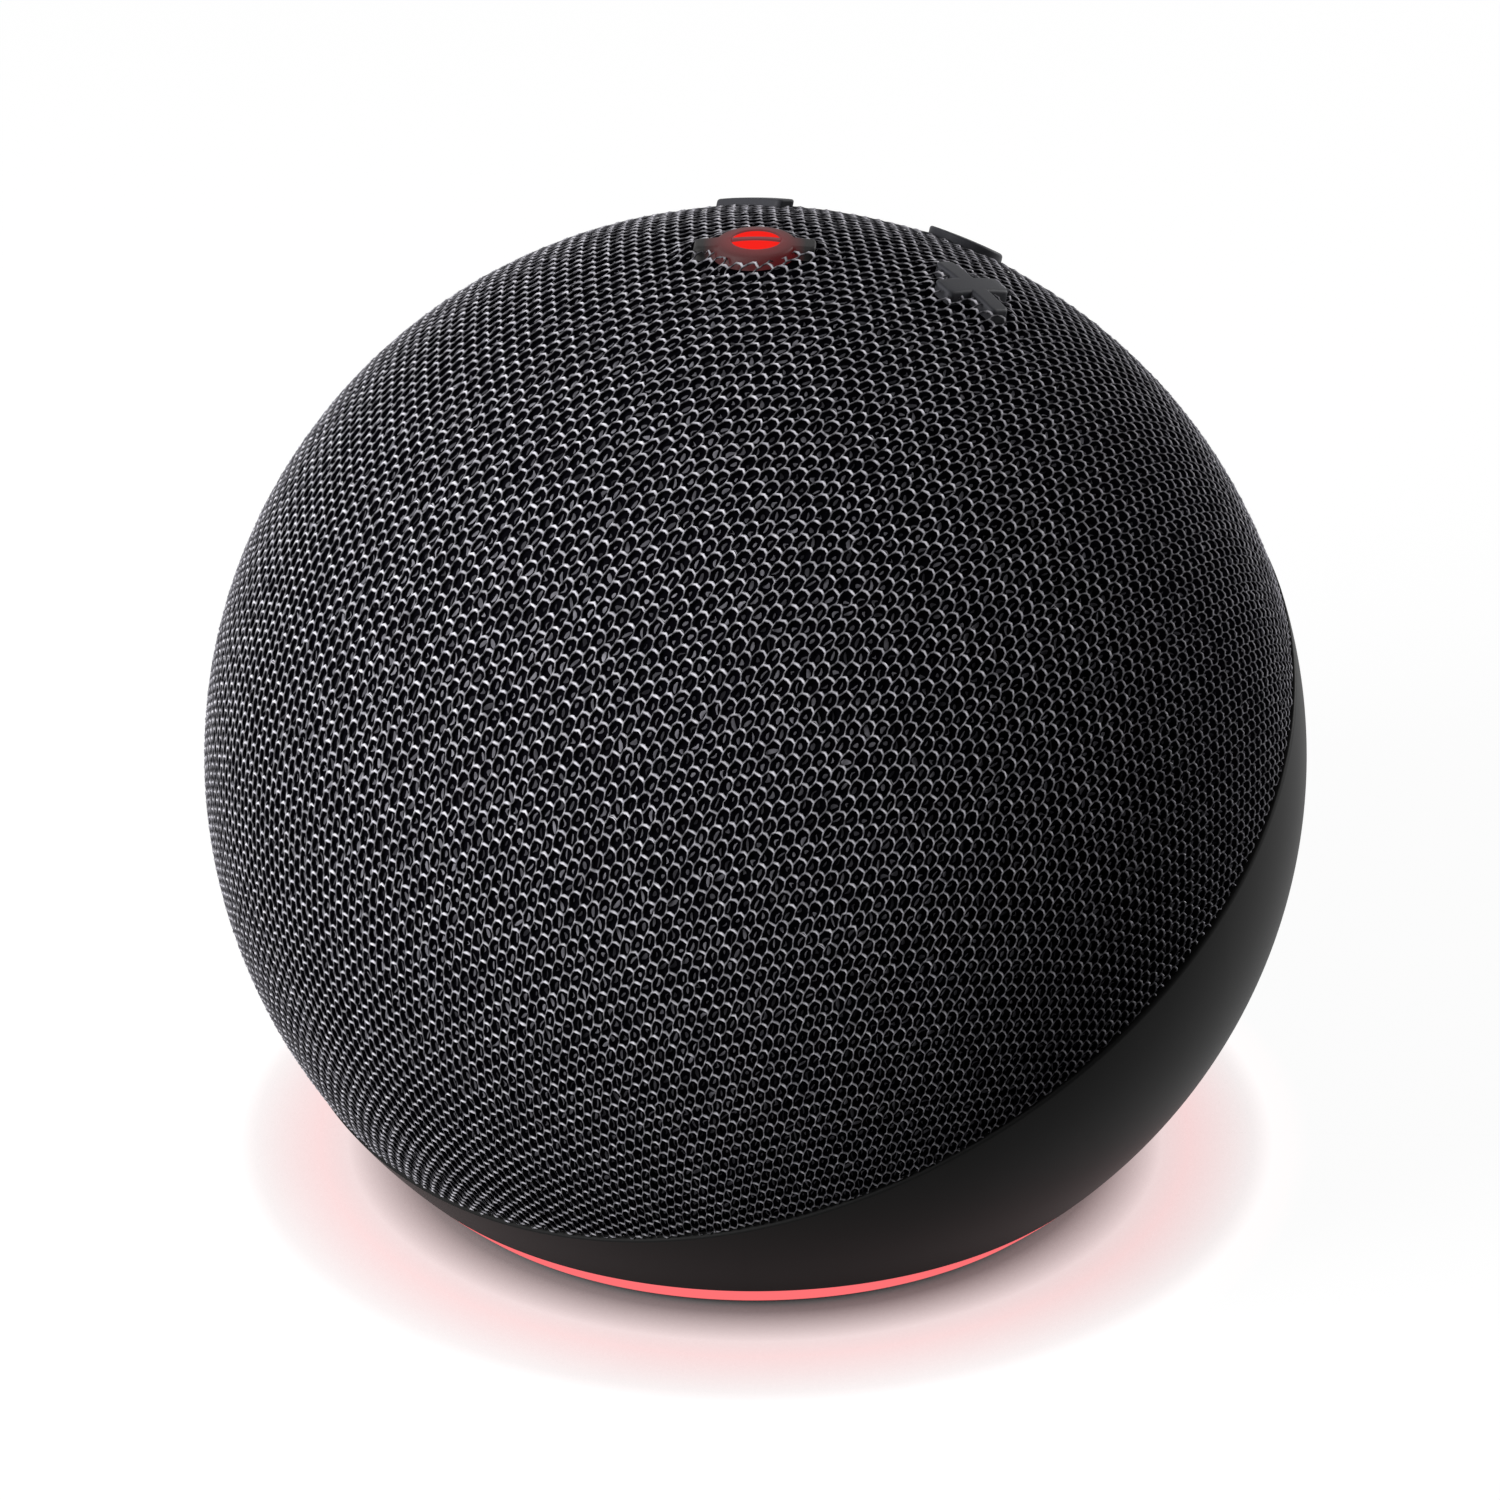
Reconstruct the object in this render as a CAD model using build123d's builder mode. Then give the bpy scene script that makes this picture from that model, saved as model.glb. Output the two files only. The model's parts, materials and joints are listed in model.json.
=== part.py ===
from build123d import *

import os
from math import asin, cos, degrees, radians, sin, sqrt

# A ball-shaped smart speaker: a knitted cover over a perforated front dome, a moulded rear
# shell, a light ring and a foot underneath, four keys on the crown, and one small driver in a
# sealed chamber. Millimetres and degrees. The origin is on the table under the ball's centre,
# +Z is up, the driver faces the front at -Y and the power inlet faces the rear at +Y.

# Ball, cover, dome and rear shell
overall_height = 89.0
ball_radius = 50.0
fabric_thickness = 0.8
glue_line = 0.05
grille_wall = 2.0
shell_step = 0.3
shell_wall = 2.2
seam_tilt = 30.0
seam_front_height = 7.0
seam_gap = 0.3
lap_depth = 2.7
lap_thickness = 1.0
lap_clearance = 0.15

# Foot, base plate and light ring
seat_gap = 0.05
fit_gap = 0.1
base_lift = 0.35
base_lip_height = 0.45
base_reveal = 0.15
base_edge_chamfer = 0.2
base_centre_height = 2.9
ring_height = 1.8
ring_proud = 0.15
ring_lip_width = 1.0
ring_lip_drop = 0.8
ring_width = 4.6
collar_height = 0.9
collar_width = 2.4
foot_inset = 6.0
foot_width = 4.8
foot_groove_depth = 0.9
foot_chamfer = 0.3

# Light board under the floor of the rear shell
led_count = 12
led_side = 2.0
led_height = 0.7
led_gap = 0.2
board_thickness = 1.0
board_edge_gap = 0.8
head_room = 0.3
board_shoulder = 2.0
floor_thickness = 2.0

# Screws: radius of the thread, radius and height of the head, and the fits round them
screw_radius = 1.2
screw_head_radius = 2.1
screw_head_height = 1.1
screw_slot_width = 0.7
screw_slot_length = 2.8
screw_slot_depth = 0.5
screw_grip = 5.0
screw_pass_gap = 0.15
screw_pilot_gap = 0.05
screw_boss_wall = 1.35
base_screw_count = 3
base_screw_start = 30.0

# Speaker chamber and its posts
driver_tilt = 20.0
baffle_setback = 21.3
baffle_radius = 28.0
baffle_thickness = 2.5
chamber_radius = 26.0
chamber_wall = 2.0
chamber_depth = 36.0
chamber_clearance = 3.0
chamber_rim = 2.6
post_radius = 3.0
post_x = 15.0
post_pitch = 10.0
post_margin = 1.5

# Driver
gasket_thickness = 0.8
gasket_inset = 0.4
frame_radius = 23.0
frame_thickness = 1.2
frame_hole_radius = 16.4
frame_wall = 1.2
frame_depth = 12.0
frame_window_width = 11.0
frame_window_margin = 1.6
motor_seat_radius = 12.6
surround_roll_width = 3.0
surround_roll_height = 1.4
surround_crest = 1.2
surround_thickness = 0.4
surround_lip = 1.0
cone_thickness = 0.4
cone_depth = 7.0
coil_radius = 5.5
coil_former = 0.5
coil_winding = 0.35
coil_winding_height = 4.0
coil_length = 10.0
coil_gap = 0.4
dust_cap_height = 2.6
spider_drop = 8.2
spider_thickness = 0.3
spider_wave = 0.5
spider_wave_count = 2
plate_radius = 13.4
plate_thickness = 3.0
magnet_radius = 15.0
magnet_bore_gap = 2.0
magnet_thickness = 6.0
yoke_thickness = 3.0
pole_vent_radius = 1.5
driver_screw_count = 4

# Main board behind the chamber
standoff_height = 4.0
standoff_x = 20.0
standoff_y = 11.0
main_board_width = 50.0
main_board_height = 42.0
main_board_drop = 21.0
main_board_round = 3.0
shield_width = 22.0
shield_height = 18.0
shield_depth = 2.0
chip_side = 9.0
chip_height = 1.2
chip_pitch = 13.0
pad_side = 14.0
pad_thickness = 0.9
spreader_width = 47.0
spreader_height = 28.0
spreader_thickness = 1.5
spreader_lip = 1.2
spreader_spacer_radius = 2.6

# Power board, jack and inlet
power_post_height = 2.8
power_board_width = 24.0
power_board_length = 18.0
power_screw_x = 9.0
power_screw_inset = 3.2
power_screw_grip = 3.6
jack_width = 9.0
jack_length = 10.5
jack_axis_height = 5.0
jack_nose_radius = 3.3
jack_bore_radius = 2.1
jack_pin_radius = 0.6
inlet_radius = 5.0
inlet_depth = 4.4
inlet_floor = 1.5
inlet_scoop_radius = 7.5
inlet_boss_wall = 1.7
inlet_lip = 0.3

# Keys on the crown and the board under them
cross_radius = 13.75
key_proud = 0.7
mute_proud = 0.5
key_clearance = 0.3
key_stroke = 2.2
key_bar_length = 7.8
key_corner = 0.5
key_disc_radius = 3.5
mute_ring_radius = 3.45
mute_slash_length = 10.5
mute_slash_angle = 45.0
mute_window_radius = 2.1
mute_divider = 0.7
lens_gap = 0.05
lens_sink = 0.1
lens_depth = 1.2
lens_base_radius = 2.6
lens_base_height = 1.0
light_hole_radius = 1.6
flange_radius = 5.8
flange_thickness = 1.1
key_travel = 0.4
press_gap = 0.05
plunger_radius = 1.5
plunger_rise = 1.2
plunger_length = 2.6
plunger_gap = 0.2
switch_side = 5.2
switch_height = 2.6
mute_switch_offset = 4.0
top_board_radius = 22.0
top_boss_inset = 3.4
top_boss_count = 4
microphone_count = 4
microphone_circle = 8.0
microphone_width = 2.6
microphone_length = 3.5
microphone_height = 1.0
sound_hole_radius = 0.6
mute_led_side = 1.8
mute_led_height = 0.8

# Honeycomb openings of the front dome, in front of the driver
honeycomb_radius = 21.0
honeycomb_cell = 2.9
honeycomb_web = 1.3

# Flat cables and their connectors
flex_thickness = 0.3
flex_width = 6.0
flex_slack = 3.0
flex_slot_gap = 1.0
plug_width = 8.0
plug_length = 3.2
plug_height = 1.3
plug_inset = 3.5
ring_flex_x = -5.0
power_flex_x = 6.0


def radius_at(sphere_radius, height):
    """Radius of a level section through a sphere about the ball's centre."""
    return sqrt(sphere_radius**2 - (height - centre_height) ** 2)


def latitude(offset, sphere_radius):
    """Latitude at which a sphere is cut by a plane at this offset from its centre."""
    return degrees(asin(offset / sphere_radius))


# Radii of the skins
centre_height = overall_height - ball_radius
ball_centre = Vector(0, 0, centre_height)
cover_inner_radius = ball_radius - fabric_thickness
grille_radius = cover_inner_radius - glue_line
grille_inner_radius = grille_radius - grille_wall
shell_radius = ball_radius - shell_step
shell_inner_radius = shell_radius - shell_wall
lap_radius = shell_inner_radius + lap_thickness

# Levels of the foot, from the table up
ring_bottom = base_lift + base_lip_height
ring_web_bottom = ring_bottom + ring_lip_drop
ring_top = ring_bottom + ring_height
collar_top = ring_top + collar_height
base_centre_top = base_lift + base_centre_height
groove_top = base_lift + foot_groove_depth
base_screw_seat = groove_top + screw_head_height + fit_gap
led_board_bottom = collar_top + led_gap + led_height
led_board_top = led_board_bottom + board_thickness
floor_bottom = led_board_top + screw_head_height + head_room
floor_top = floor_bottom + floor_thickness

# Seam between the fabric and the rear shell, high at the rear and low at the front, where it
# stands a fixed height over the light ring
seam_low_drop = centre_height - ring_top - seam_front_height
seam_low_angle = asin(seam_low_drop / ball_radius)
seam_drop = ball_radius * sin(seam_low_angle - radians(seam_tilt))
seam_axis = Vector(0, -sin(radians(seam_tilt)), cos(radians(seam_tilt)))
seam_plane = Plane(ball_centre, x_dir=(1, 0, 0), z_dir=seam_axis)

# Radii of the foot
ring_top_radius = radius_at(shell_radius + ring_proud, ring_top)
ring_bottom_radius = radius_at(shell_radius + ring_proud, ring_bottom)
ring_lip_radius = ring_bottom_radius - ring_lip_width
ring_inner_radius = ring_bottom_radius - ring_width
collar_radius = ring_inner_radius + collar_width
base_radius = ring_bottom_radius - base_reveal
foot_radius = ring_bottom_radius - foot_inset
foot_inner_radius = foot_radius - foot_width
base_screw_circle = (foot_radius + foot_inner_radius) / 2
screw_boss_radius = screw_radius + screw_boss_wall
led_board_inner = base_screw_circle + screw_boss_radius + board_edge_gap
led_board_outer = radius_at(shell_inner_radius, led_board_bottom) - board_edge_gap
led_circle = ring_inner_radius + collar_width / 2

# Driver axis: the lowest corner of the chamber clears the floor of the rear shell
driver_axis = Vector(0, -cos(radians(driver_tilt)), sin(radians(driver_tilt)))
cup_length = baffle_thickness + seat_gap + chamber_depth
driver_drop = cup_length * sin(radians(driver_tilt)) + chamber_radius * cos(radians(driver_tilt))
driver_height = floor_top + chamber_clearance + driver_drop
driver_origin = Vector(0, baffle_setback - grille_inner_radius, driver_height)
driver_plane = Plane(driver_origin, x_dir=(1, 0, 0), z_dir=driver_axis)
driver_section = Plane(driver_origin, x_dir=(1, 0, 0), z_dir=-driver_plane.y_dir)
driver_line = Axis(driver_origin, driver_axis)
chamber_back_y = driver_origin.Y + cup_length * cos(radians(driver_tilt))
chamber_back_y -= sqrt(chamber_radius**2 - post_x**2) * sin(radians(driver_tilt))
post_rear_y = chamber_back_y - post_radius - post_margin

# Levels along the driver axis, measured forwards from the front of the baffle
cup_front = -baffle_thickness - seat_gap
cup_back = cup_front - chamber_depth
frame_back = gasket_thickness + seat_gap
frame_front = frame_back + frame_thickness
motor_seat = frame_front - frame_depth
surround_inner = frame_hole_radius - surround_roll_width
surround_seat = frame_front + seat_gap
cone_edge_radius = surround_inner
cone_neck_radius = coil_radius + coil_former + fit_gap
cone_neck = frame_front - cone_depth
coil_outer_radius = coil_radius + coil_former + coil_winding
plate_bore_radius = coil_outer_radius + coil_gap
pole_radius = coil_radius - coil_gap
plate_front = motor_seat - seat_gap
magnet_front = plate_front - plate_thickness - seat_gap
yoke_front = magnet_front - magnet_thickness - seat_gap
spider_level = frame_front - spider_drop
driver_screw_circle = (frame_hole_radius + surround_lip + frame_radius) / 2 + fit_gap
board_middle = main_board_height / 2 - main_board_drop
standoff_back = cup_back - standoff_height
main_board_front = standoff_back - seat_gap
main_board_back = main_board_front - board_thickness
shield_back = main_board_back - seat_gap - shield_depth
pad_back = shield_back - seat_gap - pad_thickness
spreader_front = pad_back - seat_gap
spreader_back = spreader_front - spreader_thickness

# Key axis: the mute key sits on the very top of the ball
key_tilt = asin(cross_radius / ball_radius)
key_axis = Vector(0, sin(key_tilt), cos(key_tilt))
key_plane = Plane(ball_centre, x_dir=(1, 0, 0), z_dir=key_axis)
key_places = {
    "volume_up": (cross_radius, 0),
    "volume_down": (-cross_radius, 0),
    "action": (0, cross_radius),
    "mic_mute": (0, -cross_radius),
}
switch_places = dict(key_places)
switch_places["mic_mute"] = (mute_switch_offset, -cross_radius)

# Levels along the key axis, from the dome down to the board
flange_top = sqrt(grille_inner_radius**2 - (cross_radius + flange_radius) ** 2) - key_clearance
flange_bottom = flange_top - flange_thickness
plunger_top = flange_bottom - press_gap
switch_top = plunger_top - plunger_rise
top_board_top = switch_top - switch_height
top_board_bottom = top_board_top - board_thickness
top_boss_circle = top_board_radius - top_boss_inset

# Power inlet: the jack's board stands on the floor, and the inlet is level with the jack
power_board_bottom = floor_top + power_post_height + seat_gap
power_board_top = power_board_bottom + board_thickness
inlet_height = power_board_top + seat_gap + jack_axis_height
inlet_face = radius_at(shell_radius, inlet_height - inlet_radius) - inlet_lip
inlet_back = inlet_face - inlet_depth
inlet_inside = inlet_back - inlet_floor
inlet_boss_radius = inlet_scoop_radius + inlet_boss_wall
power_board_rear = inlet_inside - 2 * lap_clearance
power_board_centre = power_board_rear - power_board_length / 2
power_screw_y = power_board_rear - power_screw_inset
inlet_plane = Plane((0, 0, inlet_height), x_dir=(1, 0, 0), z_dir=(0, 1, 0))

os.makedirs("parts", exist_ok=True)


def keep(piece, name):
    """Label a finished piece and write it to its own file."""
    piece.label = name
    export_step(piece, f"parts/{name}.step")


def draw_key(name, grow=0.0):
    """Draw a key's outline in the open sketch, grown all round by a clearance."""
    stroke = key_stroke + 2 * grow
    corner = key_corner + grow
    with Locations(key_places[name]):
        if name == "volume_up":
            RectangleRounded(key_bar_length + 2 * grow, stroke, corner)
            RectangleRounded(stroke, key_bar_length + 2 * grow, corner)
        elif name == "volume_down":
            RectangleRounded(key_bar_length + 2 * grow, stroke, corner)
        elif name == "action":
            Circle(key_disc_radius + grow)
        else:
            Circle(mute_ring_radius + grow)
            slash_length = mute_slash_length + 2 * grow
            RectangleRounded(slash_length, stroke, corner, rotation=mute_slash_angle)


def cut_key_openings():
    """Cut the four key openings through the skin of the open part."""
    for name in key_places:
        with BuildSketch(key_plane.offset(flange_top)) as opening:
            draw_key(name, key_clearance)
        extrude(opening.sketch, amount=ball_radius, mode=Mode.SUBTRACT)


def screws(seats, grip, name):
    """A set of pan-head screws. Each seat is under a head, with its Z axis towards the head."""
    with BuildPart() as screw_set:
        for seat in seats:
            with BuildSketch(seat):
                Circle(screw_head_radius)
            extrude(amount=screw_head_height)
            with BuildSketch(seat.offset(screw_head_height)):
                Rectangle(screw_slot_length, screw_slot_width)
                Rectangle(screw_slot_width, screw_slot_length)
            extrude(amount=-screw_slot_depth, mode=Mode.SUBTRACT)
            with BuildSketch(seat):
                Circle(screw_radius)
            extrude(amount=-grip)
    keep(screw_set.part, name)


def seats_on(plane, places, level):
    """Planes parallel to a plane at a level, one at each place."""
    return [Plane(plane.from_local_coords((x, y, level)), z_dir=plane.z_dir) for x, y in places]


def polar_places(radius, angles):
    """Points on a circle."""
    return [(radius * cos(radians(a)), radius * sin(radians(a))) for a in angles]


base_screw_step = 360 / base_screw_count
base_screw_places = polar_places(
    base_screw_circle, [base_screw_start + i * base_screw_step for i in range(base_screw_count)]
)
post_places = [(x, y) for x in (-post_x, post_x) for y in (post_rear_y, post_rear_y - post_pitch)]
driver_screw_places = polar_places(
    driver_screw_circle, [45 + i * 360 / driver_screw_count for i in range(driver_screw_count)]
)
standoff_places = [(x, y) for x in (-standoff_x, standoff_x) for y in (-standoff_y, standoff_y)]
power_screw_places = [(-power_screw_x, power_screw_y), (power_screw_x, power_screw_y)]
top_boss_places = polar_places(
    top_boss_circle, [45 + i * 360 / top_boss_count for i in range(top_boss_count)]
)
microphone_places = polar_places(
    microphone_circle, [45 + i * 360 / microphone_count for i in range(microphone_count)]
)

# Knitted cover: a thin dome with the four key openings
with BuildPart(seam_plane) as fabric_cover:
    Sphere(ball_radius, arc_size1=latitude(-seam_drop, ball_radius), align=None)
    Sphere(cover_inner_radius, align=None, mode=Mode.SUBTRACT)
    cut_key_openings()
keep(fabric_cover.part, "fabric_cover")

# Front dome: key openings, honeycomb in front of the driver, sound holes over the microphones,
# bosses for the key board, and a tongue that laps inside the rim of the rear shell
with BuildPart(seam_plane) as front_grille:
    Sphere(grille_radius, arc_size1=latitude(-seam_drop, grille_radius), align=None)
    tongue_radius = lap_radius - lap_clearance
    Sphere(tongue_radius, arc_size1=latitude(-seam_drop - lap_depth, tongue_radius), align=None)
    Sphere(grille_inner_radius, align=None, mode=Mode.SUBTRACT)
    with BuildSketch(key_plane.offset(top_board_top + seat_gap)):
        with Locations(*top_boss_places):
            Circle(screw_boss_radius)
    extrude(until=Until.NEXT)
    cut_key_openings()
    with BuildSketch(driver_plane):
        cell_pitch = honeycomb_cell * sqrt(3) / 2 + honeycomb_web / 2
        cell_count = int(honeycomb_radius / cell_pitch)
        with HexLocations(cell_pitch, cell_count, cell_count) as cells:
            spots = [c.position for c in cells.local_locations]
        with Locations(*[s for s in spots if s.length < honeycomb_radius - honeycomb_cell]):
            RegularPolygon(honeycomb_cell, 6, rotation=30)
    extrude(amount=ball_radius, mode=Mode.SUBTRACT)
    with BuildSketch(key_plane.offset(top_board_top)):
        with Locations(*microphone_places):
            Circle(sound_hole_radius)
    extrude(amount=ball_radius, mode=Mode.SUBTRACT)
    with BuildSketch(key_plane.offset(top_board_top)):
        with Locations(*top_boss_places):
            Circle(screw_radius + screw_pilot_gap)
    extrude(amount=screw_grip, mode=Mode.SUBTRACT)
keep(front_grille.part, "front_grille")

# Boss behind the power inlet, run out into the wall of the rear shell
with BuildPart(inlet_plane) as inlet_boss:
    with BuildSketch(inlet_plane.offset(inlet_inside)):
        Circle(inlet_boss_radius)
    extrude(amount=ball_radius)
    with Locations(inlet_plane.to_local_coords(ball_centre)):
        Sphere(shell_radius - shell_wall / 2, mode=Mode.INTERSECT)

# Floor of the rear shell, run out into its wall
with BuildPart() as shell_floor:
    with BuildSketch(Plane.XY.offset(floor_bottom)):
        Circle(ball_radius)
    extrude(amount=floor_thickness)
    with Locations(ball_centre):
        Sphere(shell_radius - shell_wall / 2, mode=Mode.INTERSECT)

# Flat cable down to the light board: it passes the floor through a slot
ring_plug_point = driver_plane.from_local_coords(
    (ring_flex_x, plug_inset - main_board_drop, main_board_back)
)
ring_slot_y = ring_plug_point.Y - flex_slack

# Rear shell: a bowl open along the slanted seam, with a floor, bosses and the inlet recess
with BuildPart() as rear_shell:
    with Locations(ball_centre):
        Sphere(shell_radius)
        Sphere(shell_inner_radius, mode=Mode.SUBTRACT)
    split(bisect_by=seam_plane.offset(-seam_drop - seam_gap), keep=Keep.BOTTOM)
    split(bisect_by=Plane.XY.offset(ring_top + seat_gap), keep=Keep.TOP)
    add(shell_floor.part)
    with Locations(seam_plane):
        lap_floor = latitude(-seam_drop - lap_depth - seam_gap, lap_radius)
        Sphere(lap_radius, arc_size1=lap_floor, align=None, mode=Mode.SUBTRACT)
    add(inlet_boss.part)
    with BuildSketch(Plane.XY.offset(led_board_top + seat_gap)):
        with Locations(*base_screw_places):
            Circle(screw_boss_radius + board_shoulder)
    extrude(amount=floor_bottom - led_board_top - seat_gap)
    with BuildSketch(Plane.XY.offset(base_centre_top + seat_gap)):
        with Locations(*base_screw_places):
            Circle(screw_boss_radius)
    extrude(amount=floor_bottom - base_centre_top - seat_gap)
    with BuildSketch(Plane.XY.offset(base_centre_top + seat_gap)):
        with Locations(*base_screw_places):
            Circle(screw_radius + screw_pilot_gap)
    extrude(amount=screw_grip, mode=Mode.SUBTRACT)
    with BuildSketch(Plane.XY.offset(floor_top)):
        with Locations(*power_screw_places):
            Circle(screw_boss_radius)
    extrude(amount=power_post_height)
    with BuildSketch(Plane.XY.offset(floor_top + power_post_height)):
        with Locations(*power_screw_places):
            Circle(screw_radius + screw_pilot_gap)
    extrude(amount=-power_screw_grip, mode=Mode.SUBTRACT)
    with BuildSketch(Plane.XY.offset(floor_bottom)):
        with Locations(*post_places):
            Circle(screw_radius + screw_pass_gap)
        with Locations((ring_flex_x, ring_slot_y)):
            slot_width = flex_thickness + 2 * flex_slot_gap
            Rectangle(flex_width + 2 * flex_slot_gap, slot_width)
    extrude(amount=floor_thickness, mode=Mode.SUBTRACT)
    with BuildSketch(inlet_plane.offset(inlet_face)):
        Circle(inlet_scoop_radius)
    extrude(amount=ball_radius, mode=Mode.SUBTRACT)
    with BuildSketch(inlet_plane.offset(inlet_back)):
        Circle(inlet_radius)
    extrude(amount=inlet_depth, mode=Mode.SUBTRACT)
    with BuildSketch(inlet_plane.offset(inlet_inside)):
        Circle(jack_nose_radius + fit_gap)
    extrude(amount=inlet_floor, mode=Mode.SUBTRACT)
keep(rear_shell.part, "rear_shell")

# Light ring: a clear guide with a slanted outer face and a collar under the lamps
with BuildPart() as light_ring:
    with BuildSketch(Plane.XZ):
        with BuildLine():
            Polyline(
                (ring_top_radius, ring_top),
                (collar_radius, ring_top),
                (collar_radius, collar_top),
                (ring_inner_radius, collar_top),
                (ring_inner_radius, ring_web_bottom),
                (ring_lip_radius, ring_web_bottom),
                (ring_lip_radius, ring_bottom),
                (ring_bottom_radius, ring_bottom),
                close=True,
            )
        make_face()
    revolve(axis=Axis.Z)
keep(light_ring.part, "light_ring")

# Base plate: a stepped disc that clamps the light ring, with a groove for the rubber foot
with BuildPart() as base_plate:
    with BuildSketch(Plane.XY.offset(base_lift)):
        Circle(base_radius)
    extrude(amount=base_lip_height - seat_gap)
    chamfer(base_plate.edges().group_by(Axis.Z)[0], base_edge_chamfer)
    with BuildSketch(Plane.XY.offset(ring_bottom - seat_gap)):
        Circle(ring_lip_radius - fit_gap)
    extrude(amount=ring_lip_drop)
    with BuildSketch(Plane.XY.offset(ring_web_bottom - seat_gap)):
        Circle(ring_inner_radius - fit_gap)
    extrude(amount=base_centre_top - ring_web_bottom + seat_gap)
    with BuildSketch(Plane.XY.offset(base_lift)):
        Circle(foot_radius + fit_gap)
        Circle(foot_inner_radius - fit_gap, mode=Mode.SUBTRACT)
    extrude(amount=foot_groove_depth, mode=Mode.SUBTRACT)
    with BuildSketch(Plane.XY.offset(groove_top)):
        with Locations(*base_screw_places):
            Circle(screw_head_radius + fit_gap)
    extrude(amount=base_screw_seat - groove_top, mode=Mode.SUBTRACT)
    with BuildSketch(Plane.XY.offset(base_screw_seat)):
        with Locations(*base_screw_places):
            Circle(screw_radius + screw_pass_gap)
    extrude(amount=base_centre_top - base_screw_seat, mode=Mode.SUBTRACT)
keep(base_plate.part, "base_plate")

# Rubber foot: a flat ring pressed into the groove, over the screw heads
with BuildPart() as rubber_foot:
    with BuildSketch(Plane.XY):
        Circle(foot_radius)
        Circle(foot_inner_radius, mode=Mode.SUBTRACT)
    extrude(amount=groove_top - seat_gap)
    chamfer(rubber_foot.edges().group_by(Axis.Z)[0], foot_chamfer)
keep(rubber_foot.part, "rubber_foot")

base_screw_grip = base_centre_top - base_screw_seat + screw_grip - screw_pass_gap
screws(seats_on(Plane.XY.rotated((180, 0, 0)), [(x, -y) for x, y in base_screw_places],
                -base_screw_seat), base_screw_grip, "base_screws")

# Light board and its lamps, facing down on the collar of the ring
with BuildPart() as led_ring_board:
    with BuildSketch(Plane.XY.offset(led_board_bottom)):
        Circle(led_board_outer)
        Circle(led_board_inner, mode=Mode.SUBTRACT)
    extrude(amount=board_thickness)
keep(led_ring_board.part, "led_ring_board")

with BuildPart() as ring_leds:
    with BuildSketch(Plane.XY.offset(led_board_bottom - seat_gap)):
        with PolarLocations(led_circle, led_count):
            Rectangle(led_side, led_side)
    extrude(amount=seat_gap - led_height)
keep(ring_leds.part, "ring_leds")

# Chamber front: the baffle with the driver opening and screw bosses behind it
with BuildPart(driver_plane) as chamber_front:
    with BuildSketch(driver_plane):
        Circle(baffle_radius)
    extrude(amount=-baffle_thickness)
    with BuildSketch(driver_plane.offset(-baffle_thickness)):
        with Locations(*driver_screw_places):
            Circle(screw_boss_radius)
    extrude(amount=baffle_thickness - screw_grip)
    with BuildSketch(driver_plane):
        Circle(frame_hole_radius + frame_wall + fit_gap)
        with Locations(*driver_screw_places):
            Circle(screw_radius + screw_pilot_gap)
    extrude(amount=-screw_grip, mode=Mode.SUBTRACT)
keep(chamber_front.part, "chamber_front")

# Chamber rear: a cup with standoffs for the main board and posts down to the floor
with BuildPart() as chamber_rear:
    with BuildSketch(driver_plane.offset(cup_back)):
        Circle(chamber_radius)
    extrude(amount=chamber_depth)
    with BuildSketch(driver_plane.offset(cup_front)):
        Circle(baffle_radius)
    extrude(amount=-chamber_rim)
    with BuildSketch(Plane.XY.offset(floor_top + seat_gap)):
        with Locations(*post_places):
            Circle(post_radius)
    extrude(until=Until.NEXT)
    with BuildSketch(driver_plane.offset(standoff_back)):
        with Locations(*standoff_places):
            Circle(screw_boss_radius)
    extrude(amount=standoff_height)
    with BuildSketch(driver_plane.offset(cup_back + chamber_wall)):
        Circle(chamber_radius - chamber_wall)
    extrude(amount=chamber_depth, mode=Mode.SUBTRACT)
    with BuildSketch(Plane.XY.offset(floor_top + seat_gap)):
        with Locations(*post_places):
            Circle(screw_radius + screw_pilot_gap)
    extrude(amount=screw_grip, mode=Mode.SUBTRACT)
    with BuildSketch(driver_plane.offset(standoff_back)):
        with Locations(*standoff_places):
            Circle(screw_radius + screw_pilot_gap)
    extrude(amount=screw_grip, mode=Mode.SUBTRACT)
keep(chamber_rear.part, "chamber_rear")

post_screw_grip = floor_thickness + screw_grip - screw_pass_gap
screws(seats_on(Plane.XY.rotated((180, 0, 0)), [(x, -y) for x, y in post_places],
                -floor_bottom), post_screw_grip, "chamber_screws")

# Driver gasket and basket
with BuildPart(driver_plane) as driver_gasket:
    with BuildSketch(driver_plane.offset(seat_gap / 2)):
        Circle(frame_radius - gasket_inset)
        Circle(frame_hole_radius + frame_wall + gasket_inset, mode=Mode.SUBTRACT)
        with Locations(*driver_screw_places):
            Circle(screw_radius + screw_pass_gap, mode=Mode.SUBTRACT)
    extrude(amount=gasket_thickness)
keep(driver_gasket.part, "driver_gasket")

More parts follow.
